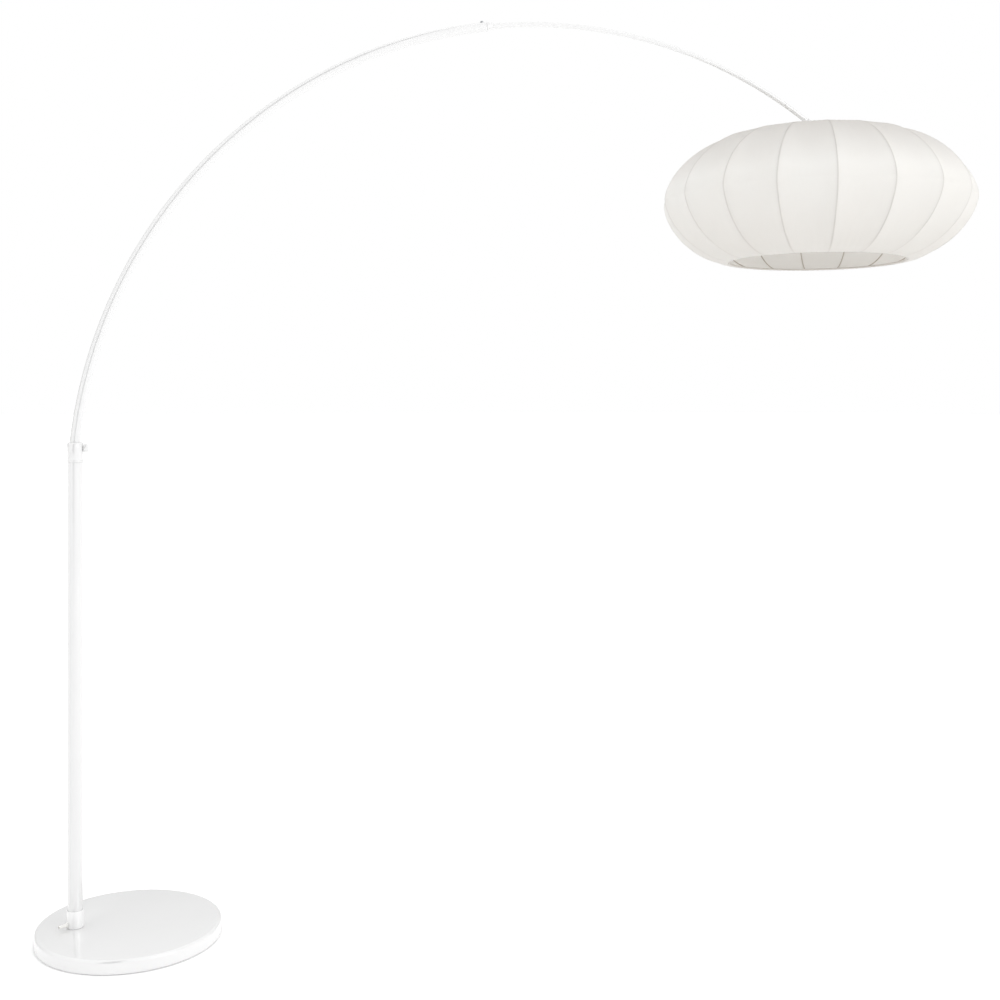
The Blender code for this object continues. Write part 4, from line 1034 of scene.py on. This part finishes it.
@dataclass
class Knuckle:
    """The fork that tilts on the rod's lug, its bolt and its knob."""

    layout: Layout
    cheek_inner: float = 0.0038
    cheek_outer: float = 0.0078
    cheek_radius: float = 0.008
    drop: float = 0.0165  # metres from the pivot down to the middle of the bridge
    bridge: tuple[float, float, float] = (0.0158, 0.0154, 0.0058)

    def build(self) -> None:
        """Build the fork, the bolt and the fluted knob."""
        place = Matrix.Translation(self.layout.pivot)
        fork = lug_plate(self.drop, self.cheek_radius, -self.cheek_outer, -self.cheek_inner, place)
        other = lug_plate(self.drop, self.cheek_radius, self.cheek_inner, self.cheek_outer, place)
        bridge = bmesh.new()
        size = Matrix.Diagonal((*self.bridge, 1.0))
        bmesh.ops.create_cube(bridge, size=1.0, matrix=Matrix.Translation((0, 0, -self.drop)) @ size)
        soften(bridge, 0.0008, 50.0)
        bmesh.ops.transform(bridge, matrix=place, verts=bridge.verts)
        outline = [(0.0, -0.0175), (0.008, -0.0175), (0.0078, -0.0215), (0.0066, -0.0240), (0.0, -0.0240)]
        hub = lathe(outline, 48, place)
        soften(hub, 0.0004, 25.0)
        publish(merge_in(fork, other, bridge, hub), "swivel_fork", ENAMEL, "head", ["knuckle_fork"])

        turned = place @ Side.BACK.value
        face = -self.cheek_outer - CLEAR
        outline = [
            (0.0, face), (0.0046, face), (0.0046, face - 0.0024), (0.0032, face - 0.0034), (0.0, face - 0.0035),
        ]
        bolt = lathe(outline, 48, turned)
        soften(bolt, 0.0003, 25.0)
        shank = lathe(disc_outline(0.0025, face - 0.001, self.cheek_outer + 0.0045), 24, turned)
        publish(merge_in(bolt, shank), "swivel_bolt", ZINC, "head", ["pivot_bolt"])
        low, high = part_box("tilt_knob")
        knob = fluted_knob(
            radius_of("tilt_knob", 0), low.y - self.layout.pivot.y, high.y - self.layout.pivot.y, 10, turned
        )
        publish(knob, "swivel_thumb_nut", ENAMEL, "tilt_nut", ["tilt_knob"])
        dress(ZINC, "threaded_nipple")


@dataclass
class Lampholder:
    """The holder under the knuckle, the two rings that clamp the shade, and the bulb."""

    layout: Layout
    steps: int = 72
    wall: float = 0.002
    cap_bore: float = 0.0053
    cap_neck: float = 0.0105
    ring_bore: float = 0.0198
    threads: int = 10
    dome_wall: float = 0.0012

    def build(self) -> None:
        """Build the holder's mouldings, its rings and the bulb."""
        place = Matrix.Translation((self.layout.pivot.x, 0, 0))
        low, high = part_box("lampholder_cap")
        outer = radius_of("lampholder_cap")
        inner = outer - self.wall
        outline = [
            (self.cap_bore, high.z), (self.cap_neck, high.z), (outer - 0.001, high.z - 0.006), (outer, high.z - 0.009),
        ]
        cut = outer - 0.0005
        for number in range(4):
            at = high.z - 0.0115 - 0.0022 * number
            outline += [(outer, at), (cut, at - 0.0004), (cut, at - 0.0009), (outer, at - 0.0013)]
        outline += [
            (outer, low.z), (inner, low.z), (inner, high.z - 0.010), (self.cap_neck, high.z - self.wall),
            (self.cap_bore, high.z - self.wall),
        ]
        publish(lathe(outline, self.steps, place), "holder_cap", PLASTIC, "head", ["lampholder_cap"])

        low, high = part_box("lampholder_body")
        root = outer - 0.0006
        outline = [(inner, high.z), (root, high.z)]
        pitch = (high.z - low.z - 0.004) / self.threads
        for number in range(self.threads):
            at = high.z - 0.002 - number * pitch
            outline += [(root, at), (outer, at - pitch * 0.3), (outer, at - pitch * 0.6), (root, at - pitch * 0.9)]
        outline += [(root, low.z), (inner, low.z)]
        publish(lathe(outline, self.steps, place), "holder_body", PLASTIC, "head", ["lampholder_body"])

        for name in ("clamp_ring_upper", "clamp_ring_lower"):
            publish(self.ring(f"shade_{name}", place), name, PLASTIC, "head", [f"shade_{name}"])
        dress(ZINC, "nipple_nut")
        dress(PORCELAIN, "lampholder_core")
        dress(BRASS, "screw_shell", "centre_contact")
        dress(SHEATH, "supply_lead_head")
        self.build_bulb(place)

    def ring(self, node: str, place: Matrix) -> BMesh:
        """A clamp ring with grip notches round its edge.

        Args:
            node: The CAD node that it stands for.
            place: The frame whose Z is its axis.

        Returns:
            The ring's shape.
        """
        low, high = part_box(node)
        radius = radius_of(node)
        bm = lathe(tube_outline(self.ring_bore, radius, low.z, high.z), 120)
        for vert in bm.verts:
            if vert.co.xy.length > radius - 1e-4:
                turn = math.atan2(vert.co.y, vert.co.x)
                vert.co.xy *= 1.0 - 0.02 * (1 if math.cos(20 * turn) < -0.2 else 0)
        soften(bm, 0.0004, 60.0, 2)
        bmesh.ops.transform(bm, matrix=place, verts=bm.verts)
        return bm

    def build_bulb(self, place: Matrix) -> None:
        """Build the bulb's flared collar and its opal dome.

        Args:
            place: The frame whose Z is the bulb's axis.
        """
        dress(ZINC, "bulb_cap", "bulb_led_plate")
        low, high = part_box("bulb_collar")
        start = radius_of("bulb_cap")
        end = radius_of("bulb_collar")
        outline = [(0.0, high.z), (start, high.z)]
        for step in range(1, 17):
            share = step / 16
            outline.append((start + (end - start) * math.sin(share * math.pi / 2), high.z - (high.z - low.z) * share))
        outline.append((0.0, low.z))
        bm = lathe(outline, 96, place)
        publish(bm, "bulb_white_collar", PLASTIC, "head", ["bulb_collar"])

        low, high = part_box("bulb_dome")
        wall = self.dome_wall
        outside = []
        inside = []
        for step in range(19):
            turn = math.pi / 2 * step / 18
            depth = high.z - low.z
            outside.append((end * math.cos(turn), high.z - depth * math.sin(turn)))
            inside.append(((end - wall) * math.cos(turn), high.z - (depth - wall) * math.sin(turn)))
        outside[-1] = (0.0, outside[-1][1])
        inside[-1] = (0.0, inside[-1][1])
        publish(lathe(inside[::-1] + outside, 96, place), "bulb_opal_dome", OPAL, "head", ["bulb_dome"])


@dataclass
class Shade:
    """The round shade: stretched fabric over sprung ribs, on a spider that the lampholder clamps."""

    layout: Layout
    radius: float = 0.375
    power: float = 1.2
    ribs: int = 18
    rib_wire: float = 0.00125
    ring_wire: float = 0.0020
    phase: float = math.radians(11.8)
    cloth: float = 0.0009
    gap: float = 0.0003
    sag: float = 0.0095
    columns: int = 20
    rows: int = 84
    rise: float = 0.158  # the top ring's height over the widest place
    fall: float = 0.148  # the bottom ring's depth below it
    cut_share: float = 0.83  # of the flat rectangle, what the tapered gores take

    def __post_init__(self) -> None:
        """Read the rings' places from the frame."""
        top_low, top_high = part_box("shade_top_ring")
        bottom_low, bottom_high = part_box("shade_bottom_ring")
        self.top = (top_low.z + top_high.z) / 2
        self.bottom = (bottom_low.z + bottom_high.z) / 2
        self.top_radius = radius_of("shade_top_ring", 0) - self.ring_wire
        self.bottom_radius = radius_of("shade_bottom_ring", 0) - self.ring_wire
        self.equator = self.top - (self.top - self.bottom) * self.rise / (self.rise + self.fall)
        self.axis = Matrix.Translation((self.layout.pivot.x, 0, 0))

    def profile(self, share: float) -> Vector:
        """A point of a rib's middle line.

        Args:
            share: How far down the rib it is, from 0 at the top ring to 1 at the bottom.

        Returns:
            The point, as (radius, 0, height).
        """
        turn = math.pi * (0.5 - share)
        along = abs(math.sin(turn)) ** self.power
        across = max(math.cos(turn), 0.0) ** self.power
        seat = self.ring_wire + self.gap
        ring = (self.top_radius if turn >= 0 else self.bottom_radius) + seat
        reach = (self.top if turn >= 0 else self.bottom) - self.equator
        return Vector((ring + (self.radius - ring) * across, 0.0, self.equator + reach * along))

    def outward(self, share: float) -> Vector:
        """The way out of the shade at a place on a rib.

        Args:
            share: How far down the rib it is, from 0 to 1.

        Returns:
            The unit vector.
        """
        step = 1e-4
        run = self.profile(min(share + step, 1.0)) - self.profile(max(share - step, 0.0))
        return Vector((-run.z, 0.0, run.x)).normalized()

    def cloth_point(self, share: float, across: float, offset: float) -> Vector:
        """A point of one panel, with its middle at +X.

        Args:
            share: How far down the rib it is, from 0 to 1.
            across: From -1 on one rib to 1 on the next.
            offset: How far out it is from the ribs' middle lines.

        Returns:
            The point.
        """
        half = math.pi / self.ribs
        point = self.profile(share)
        reach = min(min(share, 1 - share) / 0.30, 1.0)
        held = reach * reach * (3 - 2 * reach)
        turn = across * half
        chord = point.x * (1 - math.cos(half) / math.cos(turn))
        inset = held * (chord + self.sag * (1 - across * across))
        inset += 0.0005 * (1 - held) * (1 - across * across) * math.cos(6 * math.pi * across)
        point += self.outward(share) * (offset - max(inset, -0.0004))
        return Vector((point.x * math.cos(turn), point.x * math.sin(turn), point.z))

    def build(self) -> None:
        """Build the wires, the spider and the fabric."""
        self.build_wires()
        self.build_spider()
        self.build_cloth()

    def build_wires(self) -> None:
        """Build the ribs and the two rings, each a round wire."""
        for number in range(self.ribs):
            turn = self.axis @ Matrix.Rotation(self.phase + math.tau * number / self.ribs, 4, "Z")
            path = [turn @ self.profile(step / 60) for step in range(61)]
            bm = bmesh.new()
            sweep(bm, path, self.rib_wire, 8)
            publish(bm, f"shade_rib_wire_{number + 1:02d}", WIRE, "head", [f"shade_rib_{number + 1:02d}"])
        for node, name, radius, height in (
            ("shade_top_ring", "shade_ring_wire_top", self.top_radius, self.top),
            ("shade_bottom_ring", "shade_ring_wire_bottom", self.bottom_radius, self.bottom),
        ):
            bm = bmesh.new()
            stand = Matrix.Translation((radius, 0, height)) @ Matrix.Rotation(math.pi / 2, 4, "X")
            bmesh.ops.create_circle(bm, cap_ends=False, segments=12, radius=self.ring_wire, matrix=stand)
            bmesh.ops.spin(
                bm, geom=bm.verts[:] + bm.edges[:], cent=(0, 0, 0), axis=(0, 0, 1), angle=math.tau, steps=180,
                use_merge=True,
            )
            bmesh.ops.transform(bm, matrix=self.axis, verts=bm.verts)
            publish(bm, name, BOUND_WIRE, "head", [node])

    def build_spider(self) -> None:
        """Build the spider: a flat fitter ring, and three wires welded to its lugs."""
        bore = radius_of("lampholder_body", 0) + 0.0015
        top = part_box("shade_clamp_ring_upper")[0].z - self.gap
        foot = top - 0.0015
        middle = (foot + top) / 2
        fitter = lathe(tube_outline(bore, bore + 0.006, foot, top), 96, self.axis)
        shapes = []
        for number in range(3):
            turn = self.axis @ Matrix.Rotation(self.phase + math.tau * number / 3, 4, "Z")
            lug = bmesh.new()
            size = Matrix.Diagonal((0.0125, 0.010, 0.0014, 1.0))
            bmesh.ops.create_cube(lug, size=1.0, matrix=Matrix.Translation((0.0300, 0, middle)) @ size)
            soften(lug, 0.0004, 50.0, 2)
            bmesh.ops.transform(lug, matrix=turn, verts=lug.verts)
            shapes.append(lug)
            tip = self.top_radius - self.ring_wire - self.gap
            corners = [
                Vector((0.0320, 0, middle)), Vector((0.0440, 0, middle)), Vector((tip - 0.012, 0, self.top)),
                Vector((tip, 0, self.top)),
            ]
            wire = bmesh.new()
            sweep(wire, [turn @ point for point in self.round_path(corners, 0.008)], 0.0020, 12)
            shapes.append(wire)
        publish(merge_in(fitter, *shapes), "shade_spider_wires", WIRE, "head", ["shade_spider"])

    @staticmethod
    def round_path(corners: Sequence[Vector], reach: float) -> list[Vector]:
        """Ease the inner corners of a path with short quadratic curves.

        Args:
            corners: The path's corners.
            reach: How far from a corner its curve starts.

        Returns:
            The points of the eased path.
        """
        path = [corners[0]]
        for before, corner, after in zip(corners, corners[1:], corners[2:]):
            back = min(reach, (corner - before).length / 2)
            ahead = min(reach, (after - corner).length / 2)
            start = corner + (before - corner).normalized() * back
            end = corner + (after - corner).normalized() * ahead
            for step in range(9):
                share = step / 8
                path.append(start.lerp(corner, share).lerp(corner.lerp(end, share), share))
        path.append(corners[-1])
        return path

    def build_cloth(self) -> None:
        """Build the fabric: a grid laid over the ribs, joined at its seam, and given a thin wall inwards."""
        bm = bmesh.new()
        layout = bm.loops.layers.uv.new("cloth")
        distance = bm.verts.layers.float.new("rib_distance")
        hem = bm.verts.layers.float.new("hem_distance")
        wide = self.ribs * self.columns
        bmesh.ops.create_grid(bm, x_segments=wide, y_segments=self.rows, size=0.5)
        length = sum(
            (self.profile((step + 1) / 100) - self.profile(step / 100)).length for step in range(100)
        )
        for face in bm.faces:
            for loop in face.loops:
                around = (loop.vert.co.x + 0.5) * math.tau * self.radius
                loop[layout].uv = (around, (loop.vert.co.y + 0.5) * length)
        offset = self.rib_wire + self.gap + self.cloth
        for vert in bm.verts:
            panel, part = divmod((vert.co.x + 0.5) * self.ribs, 1.0)
            across = 2 * part - 1
            share = min(max(vert.co.y + 0.5, 0.0), 1.0)
            turn = self.phase + math.tau * (panel + 0.5) / self.ribs
            point = self.cloth_point(share, across, offset)
            reach = self.profile(share).x * math.pi / self.ribs
            vert[distance] = (1 - abs(across)) * reach
            vert[hem] = min(share, 1 - share) * length
            vert.co = self.axis @ Matrix.Rotation(turn, 4, "Z") @ point
        piece = self.publish_cloth(bm)

    def publish_cloth(self, bm: BMesh) -> Object:
        """Join the grid's seam, turn it out and add its wall.

        Args:
            bm: The cloth's grid, in place. It is freed.

        Returns:
            The cloth's object.
        """
        bmesh.ops.remove_doubles(bm, verts=bm.verts, dist=1e-5)
        bmesh.ops.recalc_face_normals(bm, faces=bm.faces)
        middle = self.axis.translation
        face = max(bm.faces, key=lambda item: item.calc_center_median().x)
        if face.normal.dot(face.calc_center_median() - middle) < 0:
            bmesh.ops.reverse_faces(bm, faces=bm.faces)
        piece = publish(bm, "shade_stretched_cloth", FABRIC, "head", ["shade_cover"], turn_out=False)
        wall = piece.modifiers.new("cloth_wall", "SOLIDIFY")
        wall.thickness = self.cloth
        wall.offset = -1.0
        wall.use_rim = True
        return piece


# --- The studio ---


@dataclass
class Studio:
    """A white room: a pale floor, soft lights and the camera."""

    camera_at: Vector
    heading: float
    lens: float = 46.8
    shift: tuple[float, float] = (0.0025, -0.099)
    wall_light: str = "#FFFFFF"
    back_light: str = "#B4B4B4"
    ceiling_light: str = "#FFFFFF"
    doorway_light: str = "#0C0C0C"
    doorway: float = -108.5  # degrees
    doorway_half: float = 13.0
    wall_behind: float = 6.0  # metres from the lamp

    def build_camera(self) -> None:
        """Set the camera level at the lamp, with its frame lowered to take in the base."""
        data = bpy.data.cameras.new("studio_camera")
        data.lens = self.lens
        data.sensor_width = 36.0
        data.shift_x, data.shift_y = self.shift
        data.clip_end = 400.0
        camera = bpy.data.objects.new("studio_camera", data)
        camera.location = self.camera_at
        camera.rotation_euler = (math.pi / 2, 0.0, self.heading)
        bpy.context.scene.collection.objects.link(camera)
        bpy.context.scene.camera = camera

    def build_floor(self) -> None:
        """Lay the floor under the lamp, to where it meets the wall behind the camera."""
        bm = bmesh.new()
        reach = 60.0
        middle = Matrix.Translation((0, reach - self.wall_behind, 0))
        bmesh.ops.create_grid(bm, x_segments=8, y_segments=8, size=reach, matrix=middle)
        mesh = bpy.data.meshes.new("studio_floor")
        bm.to_mesh(mesh)
        bm.free()
        mesh.materials.append(FLOOR.material())
        floor = bpy.data.objects.new("studio_floor", mesh)
        bpy.context.scene.collection.objects.link(floor)

    def build_lights(self) -> None:
        """Hang the soft box, and light the room's own white."""
        world = bpy.data.worlds.new("white_room")
        bpy.context.scene.world = world
        world.use_nodes = True
        tree = world.node_tree
        tree.nodes.clear()
        room = add_node(tree, "Background", {"Color": self.room_light(tree), "Strength": 1.24})
        backdrop = add_node(tree, "Background", {"Color": linear("#FFFFFF"), "Strength": 1.0})
        seen = add_node(tree, "LightPath", {}).outputs["Is Camera Ray"]
        mixed = add_node(tree, "MixShader", {0: seen, 1: room, 2: backdrop})
        add_node(tree, "OutputWorld", {"Surface": mixed})
        self.soft_box("right_box", Vector((4.4, -4.2, 2.6)), Vector((1.4, 0, 1.4)), (2.4, 2.4), 38.0)

    def room_light(self, tree: NodeTree) -> Node:
        """The room's own light: white walls, duller behind the lamp, and a dark doorway behind the camera.

        Args:
            tree: The world's node tree.

        Returns:
            The node that gives the light's colour by direction.
        """
        way = add_node(tree, "TexCoord", {}).outputs["Generated"]
        split = add_node(tree, "SeparateXYZ", {"Vector": way}).outputs
        behind = add_node(tree, "MapRange", {0: split[1], 1: -0.1, 2: 0.6, 3: 0.0, 4: 1.0})
        tints = {0: behind, 6: linear(self.wall_light), 7: linear(self.back_light)}
        walls = add_node(tree, "Mix", tints, data_type="RGBA")
        over = add_node(tree, "MapRange", {0: split[2], 1: 0.05, 2: 0.9, 3: 0.0, 4: 1.0})
        room = add_node(tree, "Mix", {0: over, 6: walls, 7: linear(self.ceiling_light)}, data_type="RGBA")
        around = add_node(tree, "Math", {0: split[1], 1: split[0]}, operation="ARCTAN2")
        aside = add_node(tree, "Math", {0: around, 1: math.radians(-self.doorway)}, operation="ADD")
        width = add_node(tree, "Math", {0: aside}, operation="ABSOLUTE")
        half = math.radians(self.doorway_half)
        door = add_node(tree, "MapRange", {0: width, 1: half * 0.6, 2: half * 1.3, 3: 1.0, 4: 0.0})
        above = add_node(tree, "MapRange", {0: split[2], 1: -0.15, 2: -0.03, 3: 0.0, 4: 1.0})
        share = add_node(tree, "Math", {0: door, 1: above}, operation="MULTIPLY")
        return add_node(tree, "Mix", {0: share, 6: room, 7: linear(self.doorway_light)}, data_type="RGBA")

    @staticmethod
    def soft_box(name: str, at: Vector, towards: Vector, size: tuple[float, float], power: float) -> None:
        """Hang one soft box.

        Args:
            name: Its name.
            at: Where it hangs.
            towards: The point that it faces.
            size: Its width and height.
            power: Its power in watts.
        """
        data = bpy.data.lights.new(name, "AREA")
        data.shape = "RECTANGLE"
        data.size, data.size_y = size
        data.energy = power
        lamp = bpy.data.objects.new(name, data)
        lamp.location = at
        lamp.rotation_euler = (towards - at).to_track_quat("-Z", "Y").to_euler()
        bpy.context.scene.collection.objects.link(lamp)


def main() -> None:
    """Build the studio and every sub-assembly in order."""
    logging.basicConfig(level=logging.INFO, format="%(name)s: %(message)s")
    view = bpy.context.scene.view_settings
    view.view_transform = "Standard"
    studio = Studio(Vector((0.225, -2.987, 1.186)), math.radians(-11.5))
    studio.build_camera()
    layout = Layout.read()
    assemblies = (Base, Post, Collar, Arm, Rod, Knuckle, Lampholder, Shade)
    for assembly in assemblies:
        log.info("building %s", assembly.__name__)
        assembly(layout).build()
    studio.build_floor()
    studio.build_lights()


if __name__ == "__main__":
    main()
